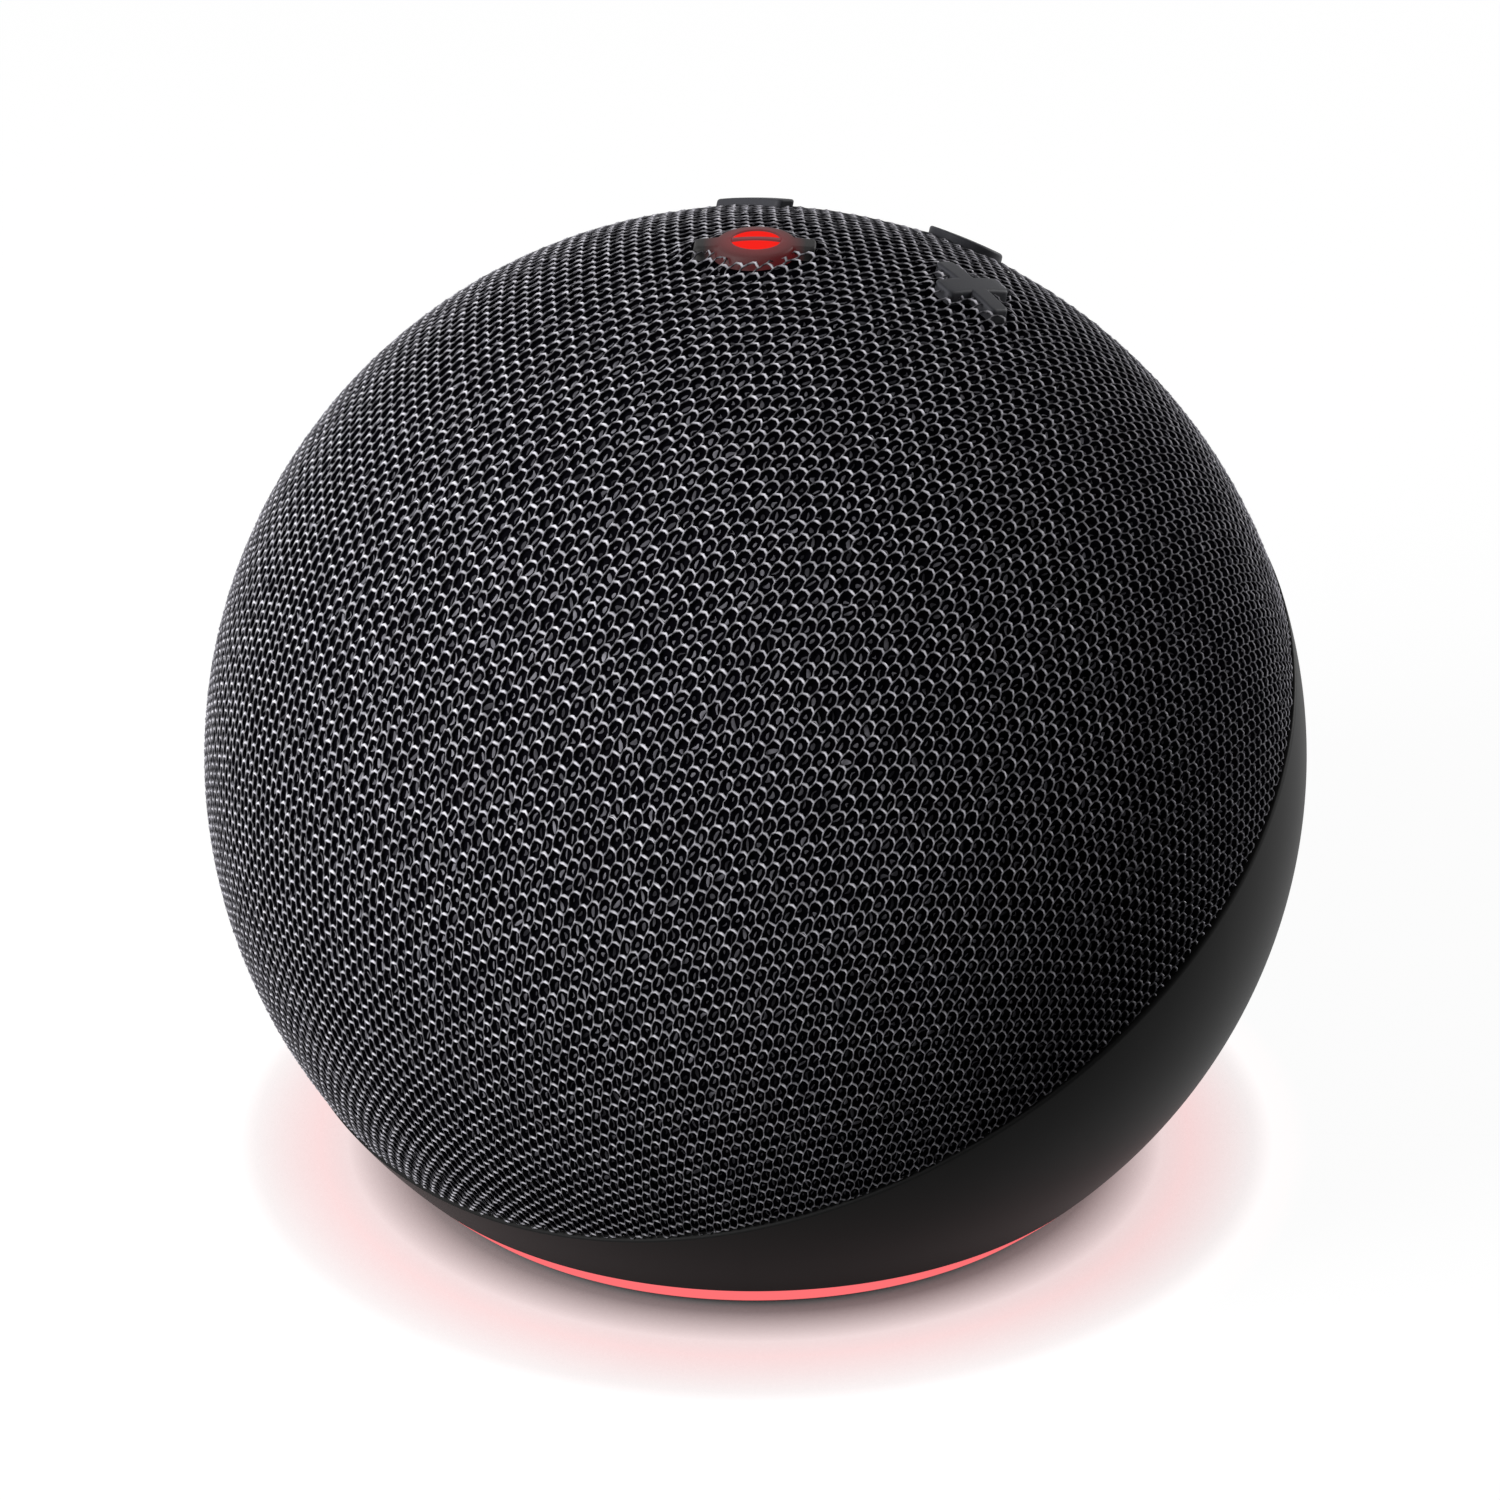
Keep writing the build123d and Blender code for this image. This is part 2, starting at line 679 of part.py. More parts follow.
with BuildPart() as driver_basket:
    with BuildSketch(driver_section):
        with BuildLine():
            Polyline(
                (frame_radius, frame_back),
                (frame_radius, frame_front),
                (frame_hole_radius, frame_front),
                (motor_seat_radius, motor_seat + frame_wall),
                (plate_bore_radius + magnet_bore_gap, motor_seat + frame_wall),
                (plate_bore_radius + magnet_bore_gap, motor_seat),
                (motor_seat_radius + frame_wall, motor_seat),
                (frame_hole_radius + frame_wall, frame_back),
                close=True,
            )
        make_face()
    revolve(axis=driver_line)
    with BuildSketch(driver_plane.offset(motor_seat + frame_wall + frame_window_margin)):
        with PolarLocations(frame_hole_radius, driver_screw_count):
            Rectangle(frame_hole_radius - coil_radius, frame_window_width)
    window_height = frame_back - motor_seat - frame_wall - 2 * frame_window_margin
    extrude(amount=window_height, mode=Mode.SUBTRACT)
    with BuildSketch(driver_plane.offset(frame_back)):
        with Locations(*driver_screw_places):
            Circle(screw_radius + screw_pass_gap)
    extrude(amount=frame_thickness, mode=Mode.SUBTRACT)
keep(driver_basket.part, "driver_basket")

driver_screw_grip = frame_front + screw_grip - screw_pass_gap
screws(seats_on(driver_plane, driver_screw_places, frame_front), driver_screw_grip, "driver_screws")

# Motor: front plate, ring magnet, and yoke with its vented pole
with BuildPart(driver_plane) as driver_plate:
    with BuildSketch(driver_plane.offset(plate_front)):
        Circle(plate_radius)
        Circle(plate_bore_radius, mode=Mode.SUBTRACT)
    extrude(amount=-plate_thickness)
keep(driver_plate.part, "driver_plate")

with BuildPart(driver_plane) as driver_magnet:
    with BuildSketch(driver_plane.offset(magnet_front)):
        Circle(magnet_radius)
        Circle(plate_bore_radius + magnet_bore_gap, mode=Mode.SUBTRACT)
    extrude(amount=-magnet_thickness)
keep(driver_magnet.part, "driver_magnet")

with BuildPart(driver_plane) as driver_yoke:
    with BuildSketch(driver_plane.offset(yoke_front)):
        Circle(plate_radius)
    extrude(amount=-yoke_thickness)
    with BuildSketch(driver_plane.offset(yoke_front)):
        Circle(pole_radius)
    extrude(amount=plate_front - yoke_front)
    with BuildSketch(driver_plane.offset(plate_front)):
        Circle(pole_vent_radius)
    extrude(amount=yoke_front - plate_front - yoke_thickness, mode=Mode.SUBTRACT)
keep(driver_yoke.part, "driver_yoke")

# Moving cone: paper cone, dust cap and voice coil
with BuildPart() as cone:
    with BuildSketch(driver_section):
        with BuildLine():
            Polyline(
                (cone_neck_radius, cone_neck),
                (cone_edge_radius, frame_front),
                (cone_edge_radius, frame_front - cone_thickness),
                (cone_neck_radius, cone_neck - cone_thickness),
                close=True,
            )
        make_face()
    revolve(axis=driver_line)
keep(cone.part, "cone")

cap_rim = cone_neck + cone_thickness + fit_gap
with BuildPart() as dust_cap:
    with BuildSketch(driver_section):
        with BuildLine():
            l1 = RadiusArc(
                (cone_neck_radius, cap_rim),
                (0, cap_rim + dust_cap_height),
                -(cone_neck_radius**2 + dust_cap_height**2) / (2 * dust_cap_height),
            )
            l2 = Line(l1 @ 1, (0, cap_rim))
            Line(l2 @ 1, l1 @ 0)
        make_face()
    revolve(axis=driver_line)
keep(dust_cap.part, "dust_cap")

with BuildPart(driver_plane) as voice_coil:
    with BuildSketch(driver_plane.offset(cone_neck)):
        Circle(coil_radius + coil_former)
        Circle(coil_radius, mode=Mode.SUBTRACT)
    extrude(amount=-coil_length)
    with BuildSketch(driver_plane.offset(cone_neck - coil_length)):
        Circle(coil_outer_radius)
        Circle(coil_radius, mode=Mode.SUBTRACT)
    extrude(amount=coil_winding_height)
keep(voice_coil.part, "voice_coil")

# Soft parts that hold the cone: the rolled surround and the corrugated spider
with BuildPart() as surround:
    roll_middle = (surround_inner + frame_hole_radius) / 2
    with BuildSketch(driver_section):
        with BuildLine():
            roll = [
                (surround_inner - surround_lip, surround_seat),
                (surround_inner, surround_seat),
                (roll_middle - surround_crest / 2, surround_seat + surround_roll_height),
                (roll_middle + surround_crest / 2, surround_seat + surround_roll_height),
                (frame_hole_radius, surround_seat),
                (frame_hole_radius + surround_lip, surround_seat),
            ]
            back = [(x, y + surround_thickness) for x, y in reversed(roll)]
            Polyline(*roll, *back, close=True)
        make_face()
    revolve(axis=driver_line)
keep(surround.part, "surround")

spider_outer = frame_hole_radius - (frame_hole_radius - motor_seat_radius) * spider_drop / (
    frame_depth - frame_wall
)
with BuildPart() as spider:
    spider_inner = coil_radius + coil_former + fit_gap
    spider_span = spider_outer - 2 * fit_gap - spider_inner
    wave_length = spider_span / spider_wave_count
    with BuildSketch(driver_section):
        with BuildLine():
            crest = [(spider_inner, spider_level)]
            for i in range(2 * spider_wave_count):
                rise = spider_wave if i % 2 == 0 else -spider_wave
                crest.append((spider_inner + (i + 0.5) * wave_length / 2, spider_level + rise))
            crest.append((spider_inner + spider_span, spider_level))
            Polyline(*crest, *[(x, y - spider_thickness) for x, y in reversed(crest)], close=True)
        make_face()
    revolve(axis=driver_line)
keep(spider.part, "spider")

# Main board with its chips in front and the shield, pad and heat spreader behind
with BuildPart(driver_plane) as main_board:
    with BuildSketch(driver_plane.offset(main_board_front)):
        with Locations((0, board_middle)):
            RectangleRounded(main_board_width, main_board_height, main_board_round)
        with Locations(*standoff_places):
            Circle(screw_radius + screw_pass_gap, mode=Mode.SUBTRACT)
    extrude(amount=-board_thickness)
keep(main_board.part, "main_board")

with BuildPart(driver_plane) as board_chips:
    with BuildSketch(driver_plane.offset(main_board_front + seat_gap)):
        with GridLocations(chip_pitch, chip_pitch, 2, 2):
            Rectangle(chip_side, chip_side)
    extrude(amount=chip_height)
keep(board_chips.part, "board_chips")

with BuildPart(driver_plane) as rf_shield:
    with BuildSketch(driver_plane.offset(main_board_back - seat_gap)):
        RectangleRounded(shield_width, shield_height, key_corner)
    extrude(amount=-shield_depth)
    fillet(rf_shield.edges().group_by(driver_line)[0], key_corner)
keep(rf_shield.part, "rf_shield")

with BuildPart(driver_plane) as thermal_pad:
    with BuildSketch(driver_plane.offset(shield_back - seat_gap)):
        Rectangle(pad_side, pad_side)
    extrude(amount=-pad_thickness)
keep(thermal_pad.part, "thermal_pad")

with BuildPart(driver_plane) as heat_spreader:
    with BuildSketch(driver_plane.offset(spreader_front)):
        RectangleRounded(spreader_width, spreader_height, main_board_round)
    extrude(amount=-spreader_thickness)
    with BuildSketch(driver_plane.offset(spreader_front)):
        with Locations(*standoff_places):
            Circle(spreader_spacer_radius)
    extrude(amount=main_board_back - seat_gap - spreader_front)
    with BuildSketch(driver_plane.offset(spreader_front)):
        with GridLocations(0, spreader_height - spreader_thickness, 1, 2):
            Rectangle(pad_side, spreader_thickness)
    extrude(amount=spreader_lip)
    with BuildSketch(driver_plane.offset(spreader_back)):
        with Locations(*standoff_places):
            Circle(screw_radius + screw_pass_gap)
    extrude(amount=main_board_back - spreader_back, mode=Mode.SUBTRACT)
keep(heat_spreader.part, "heat_spreader")

board_screw_grip = standoff_back - spreader_back + screw_grip - screw_pass_gap
board_seats = seats_on(driver_plane.rotated((180, 0, 0)), [(x, -y) for x, y in standoff_places],
                       -spreader_back)
screws(board_seats, board_screw_grip, "board_screws")

# Power board on its posts, and the jack whose nose reaches through the inlet's floor
with BuildPart() as power_board:
    with BuildSketch(Plane.XY.offset(power_board_bottom)):
        with Locations((0, power_board_centre)):
            Rectangle(power_board_width, power_board_length)
        with Locations(*power_screw_places):
            Circle(screw_radius + screw_pass_gap, mode=Mode.SUBTRACT)
    extrude(amount=board_thickness)
keep(power_board.part, "power_board")

power_grip = board_thickness + power_screw_grip - screw_pass_gap
screws(seats_on(Plane.XY, power_screw_places, power_board_top), power_grip, "power_screws")

jack_shoulder = inlet_inside - seat_gap
with BuildPart(inlet_plane) as dc_jack:
    with BuildSketch(inlet_plane.offset(jack_shoulder)):
        RectangleRounded(jack_width, 2 * jack_axis_height, key_corner)
    extrude(amount=-jack_length)
    with BuildSketch(inlet_plane.offset(jack_shoulder)):
        Circle(jack_nose_radius)
    extrude(amount=inlet_floor)
    with BuildSketch(inlet_plane.offset(jack_shoulder + inlet_floor)):
        Circle(jack_bore_radius)
    extrude(amount=-jack_length, mode=Mode.SUBTRACT)
keep(dc_jack.part, "dc_jack")

with BuildPart(inlet_plane) as jack_pin:
    pin_base = jack_shoulder + inlet_floor - jack_length + seat_gap
    with BuildSketch(inlet_plane.offset(pin_base)):
        Circle(jack_pin_radius)
    extrude(amount=jack_length - inlet_floor)
    fillet(jack_pin.edges().group_by(Axis.Y)[-1], jack_pin_radius / 2)
keep(jack_pin.part, "jack_pin")

# Key board under the crown, with switches, microphones and the lamp of the mute key
with BuildPart(key_plane) as top_board:
    with BuildSketch(key_plane.offset(top_board_bottom)):
        Circle(top_board_radius)
        with Locations(*top_boss_places):
            Circle(screw_radius + screw_pass_gap, mode=Mode.SUBTRACT)
    extrude(amount=board_thickness)
keep(top_board.part, "top_board")

top_screw_grip = board_thickness + screw_grip - screw_pass_gap
screws(seats_on(key_plane.rotated((180, 0, 0)), [(x, -y) for x, y in top_boss_places],
                -top_board_bottom), top_screw_grip, "top_board_screws")

with BuildPart(key_plane) as tact_switches:
    with BuildSketch(key_plane.offset(top_board_top + seat_gap)):
        with Locations(*switch_places.values()):
            RectangleRounded(switch_side, switch_side, key_corner)
    extrude(amount=switch_height - seat_gap)
    with BuildSketch(key_plane.offset(switch_top)):
        with Locations(*switch_places.values()):
            Circle(plunger_radius + plunger_gap)
    extrude(amount=plunger_rise - plunger_length - key_travel - plunger_gap, mode=Mode.SUBTRACT)
keep(tact_switches.part, "tact_switches")

with BuildPart(key_plane) as microphones:
    with BuildSketch(key_plane.offset(top_board_top + seat_gap)):
        with Locations(*microphone_places):
            Rectangle(microphone_length, microphone_width)
    extrude(amount=microphone_height)
    with BuildSketch(key_plane.offset(top_board_top + seat_gap + microphone_height)):
        with Locations(*microphone_places):
            Circle(sound_hole_radius)
    extrude(amount=-microphone_height / 2, mode=Mode.SUBTRACT)
keep(microphones.part, "microphones")

with BuildPart(key_plane) as mute_led:
    with BuildSketch(key_plane.offset(top_board_top + seat_gap)):
        with Locations(key_places["mic_mute"]):
            Rectangle(mute_led_side, mute_led_side)
    extrude(amount=mute_led_height)
keep(mute_led.part, "mute_led")


def lens_window(grow):
    """Draw the two half-round windows of the mute key, split by its slash."""
    with Locations(key_places["mic_mute"]):
        Circle(mute_window_radius + grow)
        Rectangle(
            mute_slash_length, mute_divider - 2 * grow, rotation=mute_slash_angle, mode=Mode.SUBTRACT
        )


# Keys: an outlined cap that follows the ball, on a flange under the dome
lens_top_radius = ball_radius + mute_proud - lens_sink
mute_height = sqrt((ball_radius + mute_proud) ** 2 - cross_radius**2)
lens_shoulder = mute_height - lens_depth - mute_ring_radius * cross_radius / ball_radius
for key_name in key_places:
    with BuildPart(key_plane) as key:
        with BuildSketch(key_plane.offset(flange_top)):
            draw_key(key_name)
        extrude(amount=ball_radius)
        proud = mute_proud if key_name == "mic_mute" else key_proud
        Sphere(ball_radius + proud, align=None, mode=Mode.INTERSECT)
        with BuildSketch(key_plane.offset(flange_bottom)):
            with Locations(key_places[key_name]):
                Circle(flange_radius)
        extrude(amount=flange_thickness)
        if key_name == "mic_mute":
            with BuildSketch(key_plane.offset(lens_shoulder)):
                lens_window(lens_gap)
            extrude(amount=ball_radius, mode=Mode.SUBTRACT)
            with BuildSketch(key_plane.offset(lens_shoulder)):
                with Locations(key_places[key_name]):
                    Circle(lens_base_radius + lens_gap)
            extrude(amount=-lens_base_height - seat_gap, mode=Mode.SUBTRACT)
            with BuildSketch(key_plane.offset(flange_bottom)):
                with Locations(key_places[key_name]):
                    Circle(light_hole_radius)
            extrude(amount=lens_shoulder - flange_bottom, mode=Mode.SUBTRACT)
    keep(key.part, f"{key_name}_key")

    with BuildPart(key_plane) as plunger:
        with BuildSketch(key_plane.offset(plunger_top)):
            with Locations(switch_places[key_name]):
                Circle(plunger_radius)
        extrude(amount=-plunger_length)
    keep(plunger.part, f"{key_name}_plunger")

with BuildPart(key_plane) as mute_lens:
    with BuildSketch(key_plane.offset(lens_shoulder - lens_gap)):
        lens_window(0)
    extrude(amount=ball_radius)
    Sphere(lens_top_radius, align=None, mode=Mode.INTERSECT)
    with BuildSketch(key_plane.offset(lens_shoulder - lens_gap)):
        with Locations(key_places["mic_mute"]):
            Circle(lens_base_radius)
    extrude(amount=-lens_base_height)
keep(mute_lens.part, "mic_mute_lens")

# Flat cables: key board to main board, main board to light board, main board to power board
plug_level = main_board_back - plug_height / 2
low_plug_y = plug_inset - main_board_drop
high_plug_y = main_board_height - main_board_drop - plug_inset
exit_reach = plug_length / 2 + seat_gap
top_plug_y = top_board_radius - 2 * plug_inset - plug_length
top_exit = key_plane.from_local_coords(
    (0, top_plug_y + plug_length / 2 + seat_gap, top_board_bottom - plug_height / 2)
)
key_exit = driver_plane.from_local_coords((0, high_plug_y + exit_reach, plug_level))
key_turn = driver_plane.from_local_coords((0, high_plug_y + exit_reach + flex_slack, plug_level))
top_turn = top_exit + key_plane.y_dir * flex_slack
down_exit = driver_plane.from_local_coords((0, low_plug_y - exit_reach, plug_level))
ring_level = led_board_top + flex_thickness / 2 + seat_gap
ring_reach = led_board_outer - board_edge_gap
ring_end = sqrt(ring_reach**2 - (abs(ring_flex_x) + flex_width / 2) ** 2)
power_level = power_board_top + plug_height / 2
power_plug_y = power_board_rear - power_board_length + plug_length / 2
power_end = power_plug_y - plug_length / 2 - seat_gap


def flat_cable(name, x, points):
    """A folded ribbon that runs through points of a plane across the object."""
    with BuildPart() as ribbon:
        with BuildSketch(Plane.YZ.offset(x)):
            with BuildLine():
                Polyline(*points)
            trace(line_width=flex_thickness)
        extrude(amount=flex_width / 2, both=True)
    keep(ribbon.part, name)


flat_cable(
    "key_flex",
    0,
    [(p.Y, p.Z) for p in (key_exit, key_turn, top_turn, top_exit)],
)
flat_cable(
    "light_flex",
    ring_flex_x,
    [
        (down_exit.Y, down_exit.Z),
        (ring_slot_y, floor_top + flex_slack),
        (ring_slot_y, ring_level),
        (ring_end, ring_level),
    ],
)
flat_cable(
    "power_flex",
    power_flex_x,
    [
        (down_exit.Y, down_exit.Z),
        (down_exit.Y - flex_slack / 2, power_level),
        (power_end, power_level),
    ],
)

with BuildPart() as flex_plugs:
    with BuildSketch(driver_plane.offset(main_board_back - seat_gap)):
        with Locations((0, high_plug_y), (ring_flex_x, low_plug_y), (power_flex_x, low_plug_y)):
            Rectangle(plug_width, plug_length)
    extrude(amount=seat_gap - plug_height)
    with BuildSketch(key_plane.offset(top_board_bottom - seat_gap)):
        with Locations((0, top_plug_y)):
            Rectangle(plug_width, plug_length)
    extrude(amount=seat_gap - plug_height)
    with BuildSketch(Plane.XY.offset(power_board_top + seat_gap)):
        with Locations((power_flex_x, power_plug_y)):
            Rectangle(plug_width, plug_length)
    extrude(amount=plug_height - seat_gap)
keep(flex_plugs.part, "flex_plugs")
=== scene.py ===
import json
from math import asin, cos, pi, radians, sin, sqrt

import bpy
import numpy as np
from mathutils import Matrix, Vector


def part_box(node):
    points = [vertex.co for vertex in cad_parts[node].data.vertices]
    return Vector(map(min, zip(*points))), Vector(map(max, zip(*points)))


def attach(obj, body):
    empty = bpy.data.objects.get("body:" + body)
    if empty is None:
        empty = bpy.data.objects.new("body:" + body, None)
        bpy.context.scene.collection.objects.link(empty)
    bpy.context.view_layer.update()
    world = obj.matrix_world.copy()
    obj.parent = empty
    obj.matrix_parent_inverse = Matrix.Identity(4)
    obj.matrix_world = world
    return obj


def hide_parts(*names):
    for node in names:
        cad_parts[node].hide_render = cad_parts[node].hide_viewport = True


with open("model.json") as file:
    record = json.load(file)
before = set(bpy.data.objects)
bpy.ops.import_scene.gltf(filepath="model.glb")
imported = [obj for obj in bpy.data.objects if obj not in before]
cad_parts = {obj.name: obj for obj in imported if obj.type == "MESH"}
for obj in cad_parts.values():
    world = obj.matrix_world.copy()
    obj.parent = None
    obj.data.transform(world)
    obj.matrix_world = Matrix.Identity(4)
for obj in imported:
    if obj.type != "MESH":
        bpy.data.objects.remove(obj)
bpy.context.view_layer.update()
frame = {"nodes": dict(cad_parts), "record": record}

# A ball-shaped smart speaker: an open knit over its front dome, a satin rear shell, a lit ring at
# its foot and four raised keys on its crown, one of them lit red. Metres, in the frame of the
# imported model: +Z up, the front at -Y, the power inlet at +Y.

MM = 0.001
TINY = 1e-9
FINE_STEP = 0.01 * MM
HALVINGS = 40

# Ball and seam
CENTRE_HEIGHT = 39.0 * MM
SEAM_TILT = radians(30.0)
SEAM_DROP = 5.24 * MM
cover_low, cover_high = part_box("fabric_cover")
ball_radius = (cover_high.x - cover_low.x) / 2
ball_centre = np.array([0.0, 0.0, CENTRE_HEIGHT])
seam_x = np.array([1.0, 0.0, 0.0])
seam_y = np.array([0.0, cos(SEAM_TILT), sin(SEAM_TILT)])
seam_axis = np.array([0.0, -sin(SEAM_TILT), cos(SEAM_TILT)])
seam_reach = ball_radius * (pi / 2 + asin(SEAM_DROP / ball_radius))

# Keys: places in the key plane, sizes of their outlines, how far they stand out and how far the knit
# is drawn up round them
CROSS_RADIUS = 13.75 * MM
MUTE_DOME = 0.2 * MM
OPENING_GAP = 0.12 * MM
OPENING_REACH = 2.2 * MM
KEY_STROKE = 2.2 * MM
KEY_BAR = 7.8 * MM
KEY_CORNER = 0.5 * MM
KEY_DISC = 3.5 * MM
KEY_EDGE = 0.25 * MM
KEY_WALL = 2.0 * MM
MUTE_RING = 3.5 * MM
MUTE_SLASH = 10.5 * MM
MUTE_SLASH_TURN = radians(45.0)
MUTE_WINDOW = 2.1 * MM
MUTE_DIVIDER = 0.75 * MM
LENS_SINK = 0.12 * MM
LENS_MIDDLE = 0.6
WINDOW_DEPTH = 3 * LENS_SINK
DIVIDER_SINK = 0.25 * LENS_SINK
DIVIDER_POINTS = 13
key_tilt = asin(CROSS_RADIUS / ball_radius)
key_x = np.array([1.0, 0.0, 0.0])
key_y = np.array([0.0, cos(key_tilt), -sin(key_tilt)])
key_axis = np.array([0.0, sin(key_tilt), cos(key_tilt)])
KEY_PLACES = {
    "volume_up": (CROSS_RADIUS, 0.0),
    "volume_down": (-CROSS_RADIUS, 0.0),
    "action": (0.0, CROSS_RADIUS),
    "mic_mute": (0.0, -CROSS_RADIUS),
}
KEY_PROUD = {
    "volume_up": 0.7 * MM,
    "volume_down": 0.62 * MM,
    "action": 0.7 * MM,
    "mic_mute": 0.7 * MM,
}
OPENING_RISE = {
    "volume_up": 0.65 * MM,
    "volume_down": 0.1 * MM,
    "action": 0.1 * MM,
    "mic_mute": 0.65 * MM,
}
KEY_POINTS = 192
EDGE_STEPS = 4
TOP_SHARES = (0.8, 0.6, 0.4, 0.2)

# Knit: pitch of its holes on the flat cloth, the shape of one hole's yarns, how much they vary, and
# the share of the cloth that is yarn and not hole
HOLE_PITCH = 1.005 * MM
HOLE_ROW = 1.722 * MM
KNIT_TURN = radians(2.3)
BAR_HALF = 0.4 * MM
SIDE_REACH = 0.605 * MM
BAR_BOW = 0.11 * MM
BAR_HALF_WIDTH = 0.165 * MM
SIDE_HALF_WIDTH = 0.095 * MM
BAR_DROP = 0.04 * MM
JOIN_DROP = 0.06 * MM
SIDE_DROP = 0.08 * MM
HOLE_DEPTH = 0.1 * MM
FLANK_REACH = 0.62
FLANK_DROP = 0.28
KNIT_JITTER = 0.035 * MM
WIDTH_SPREAD = 0.12
DEPTH_SPREAD = 0.1
TONE_SPREAD = 0.3
TONE_LIMITS = (0.3, 1.4)
KNIT_PANELS = 4
EDGE_TUCK = 0.55 * MM
EDGE_PASSES = 3
BACKING_DEPTH = 0.46 * MM
BACKING_RINGS = 96
BACKING_POINTS = 256

# Short yarns of the knit's lower layer
YARN_DEPTH = 0.36 * MM
YARN_DEPTH_SPREAD = 0.02 * MM
YARN_LENGTH = 1.0 * MM
YARN_LENGTHS = (0.35, 1.0)
YARN_HALF_WIDTH = 0.14 * MM
YARN_WIDTHS = (0.5, 1.4)
YARN_STEPS = 4
YARN_TAPER = 2.4
YARN_ROUND = 0.3
YARN_SWAY = 0.12 * MM
YARN_DRIFT = (0.6, 1.0)
YARN_CURL = 4
YARN_SLANT = 0.35
# Painted sheen of each lower yarn: its usual share, spread and least
YARN_SHINE = 0.17
SHINE_SPREAD = 0.09
SHINE_LEAST = 0.03

# How light the yarn is, as painted sheen and shade: on a bar, where yarns join, down the sides, on a
# flank and at a hole's edge
BAR_TONE = 1.0
JOIN_TONE = 0.5
SIDE_TONE = 0.12
FLANK_TONE = 0.58
EDGE_TONE = 0.03

# Skin of the rear shell and face of the light ring, both on one ball
SKIN_RADIUS = ball_radius + 0.1 * MM
SKIN_LIP = 0.8 * MM
SKIN_EDGE = 0.12 * MM
SKIN_POINTS = 360
SKIN_ROWS = 56
SKIN_LEVEL = 3.65 * MM
SEAM_GAP = 0.15 * MM
RING_LEVELS = (0.95 * MM, 3.6 * MM)
RING_ROWS = 6
SCOOP_RADIUS = 7.5 * MM

# Grain of the materials: noise per metre, its detail, where its two colours lie, and its relief
YARN_GRAIN = 1400.0
CLOTH_GRAIN = 3000.0
PLASTIC_GRAIN = 9000.0
LIGHT_GRAIN = 6000.0
PLAIN_GRAIN = 5000.0
GRAIN_DETAIL = 4.0
GRAIN_STOPS = (0.3, 0.7)
GRAIN_RELIEF = 0.02 * MM
PLAIN_METALS = ("brushed_steel", "chrome", "brass", "aluminium")
METAL_ROUGHNESS = (0.3, 0.35, 0.42)
PLAIN_ROUGHNESS = (0.5, 0.55, 0.62)
PLAIN_SHADES = (0.85, 1.15)
PLAIN_BUMP = 0.3

# Red light inside the mute key: full out to one reach from its middle, gone at another
MUTE_GLOW = 0.15
MUTE_GLOW_REACH = (2.2 * MM, 4.6 * MM)
MUTE_GLOW_COLOUR = (1.0, 0.08, 0.1)

# Camera: the ball's outline is a circle in the photo
PHOTO_SIZE = 1500
OUTLINE_CENTRE = (754.5, 755.5)
OUTLINE_RADIUS = 551.2
CAMERA_RADII = 13.0
CAMERA_DISTANCE = CAMERA_RADII * ball_radius
CAMERA_AZIMUTH = radians(46.2)
CAMERA_ELEVATION = radians(27.0)
SENSOR = 36.0
CLIP_NEAR = 0.01
CLIP_FAR = 50.0
view_back = Vector((
    sin(CAMERA_AZIMUTH) * cos(CAMERA_ELEVATION),
    -cos(CAMERA_AZIMUTH) * cos(CAMERA_ELEVATION),
    sin(CAMERA_ELEVATION),
))
view_right = Vector((cos(CAMERA_AZIMUTH), sin(CAMERA_AZIMUTH), 0.0))
view_ahead = Vector((-sin(CAMERA_AZIMUTH), cos(CAMERA_AZIMUTH), 0.0))
up = Vector((0.0, 0.0, 1.0))

# Floor: how white it shows, how the foot's shade is painted on it, and the ring's light painted on by
# distance from the axis
FLOOR_SIZE = 8.0
FLOOR_GREY = 0.1
FLOOR_ROUGHNESS = 0.9
FLOOR_SHINE = 0.95
SHADE_REACH = 12.0 * MM
SHADE_SAMPLES = 10
SHADE_POWER = 1.3
RING_LIGHT = (
    (33.0 * MM, (0.0, 0.0, 0.0)),
    (38.0 * MM, (0.53, 0.37, 0.37)),
    (40.5 * MM, (0.49, 0.24, 0.24)),
    (46.5 * MM, (0.09, 0.03, 0.03)),
    (52.0 * MM, (0.0, 0.0, 0.0)),
)

# Light: place, size and level of each soft box, and the level of the surround
KEY_LIGHT = ((-0.34, -0.22, 0.225), 0.25, 1.2)
RIM_LIGHT = ((1.0, 0.75, 0.25), 0.5, 0.72)
SURROUND_LEVEL = 0.05

SEED = 7
rng = np.random.default_rng(SEED)


def on_ball(directions, reach):
    """Points at a reach from the ball's centre, along unit directions."""
    return ball_centre + directions * np.asarray(reach)[..., None]


def flat_to_direction(flat):
    """Unit directions from the ball's centre for points of the flat knit."""
    reach = np.hypot(flat[..., 0], flat[..., 1])
    angle = reach / ball_radius
    share = np.sin(angle) / np.maximum(reach, TINY)
    across = flat[..., 0:1] * seam_x + flat[..., 1:2] * seam_y
    return across * share[..., None] + np.cos(angle)[..., None] * seam_axis


def key_coordinates(directions):
    """Where directions from the ball's centre meet its surface, in the key plane."""
    return directions @ key_x * ball_radius, directions @ key_y * ball_radius


def bar_distance(x, y, length, width):
    """Distance from the outline of a rounded bar, negative inside it."""
    out_x = np.abs(x) - length / 2 + KEY_CORNER
    out_y = np.abs(y) - width / 2 + KEY_CORNER
    outside = np.hypot(np.maximum(out_x, 0), np.maximum(out_y, 0))
    return outside + np.minimum(np.maximum(out_x, out_y), 0) - KEY_CORNER


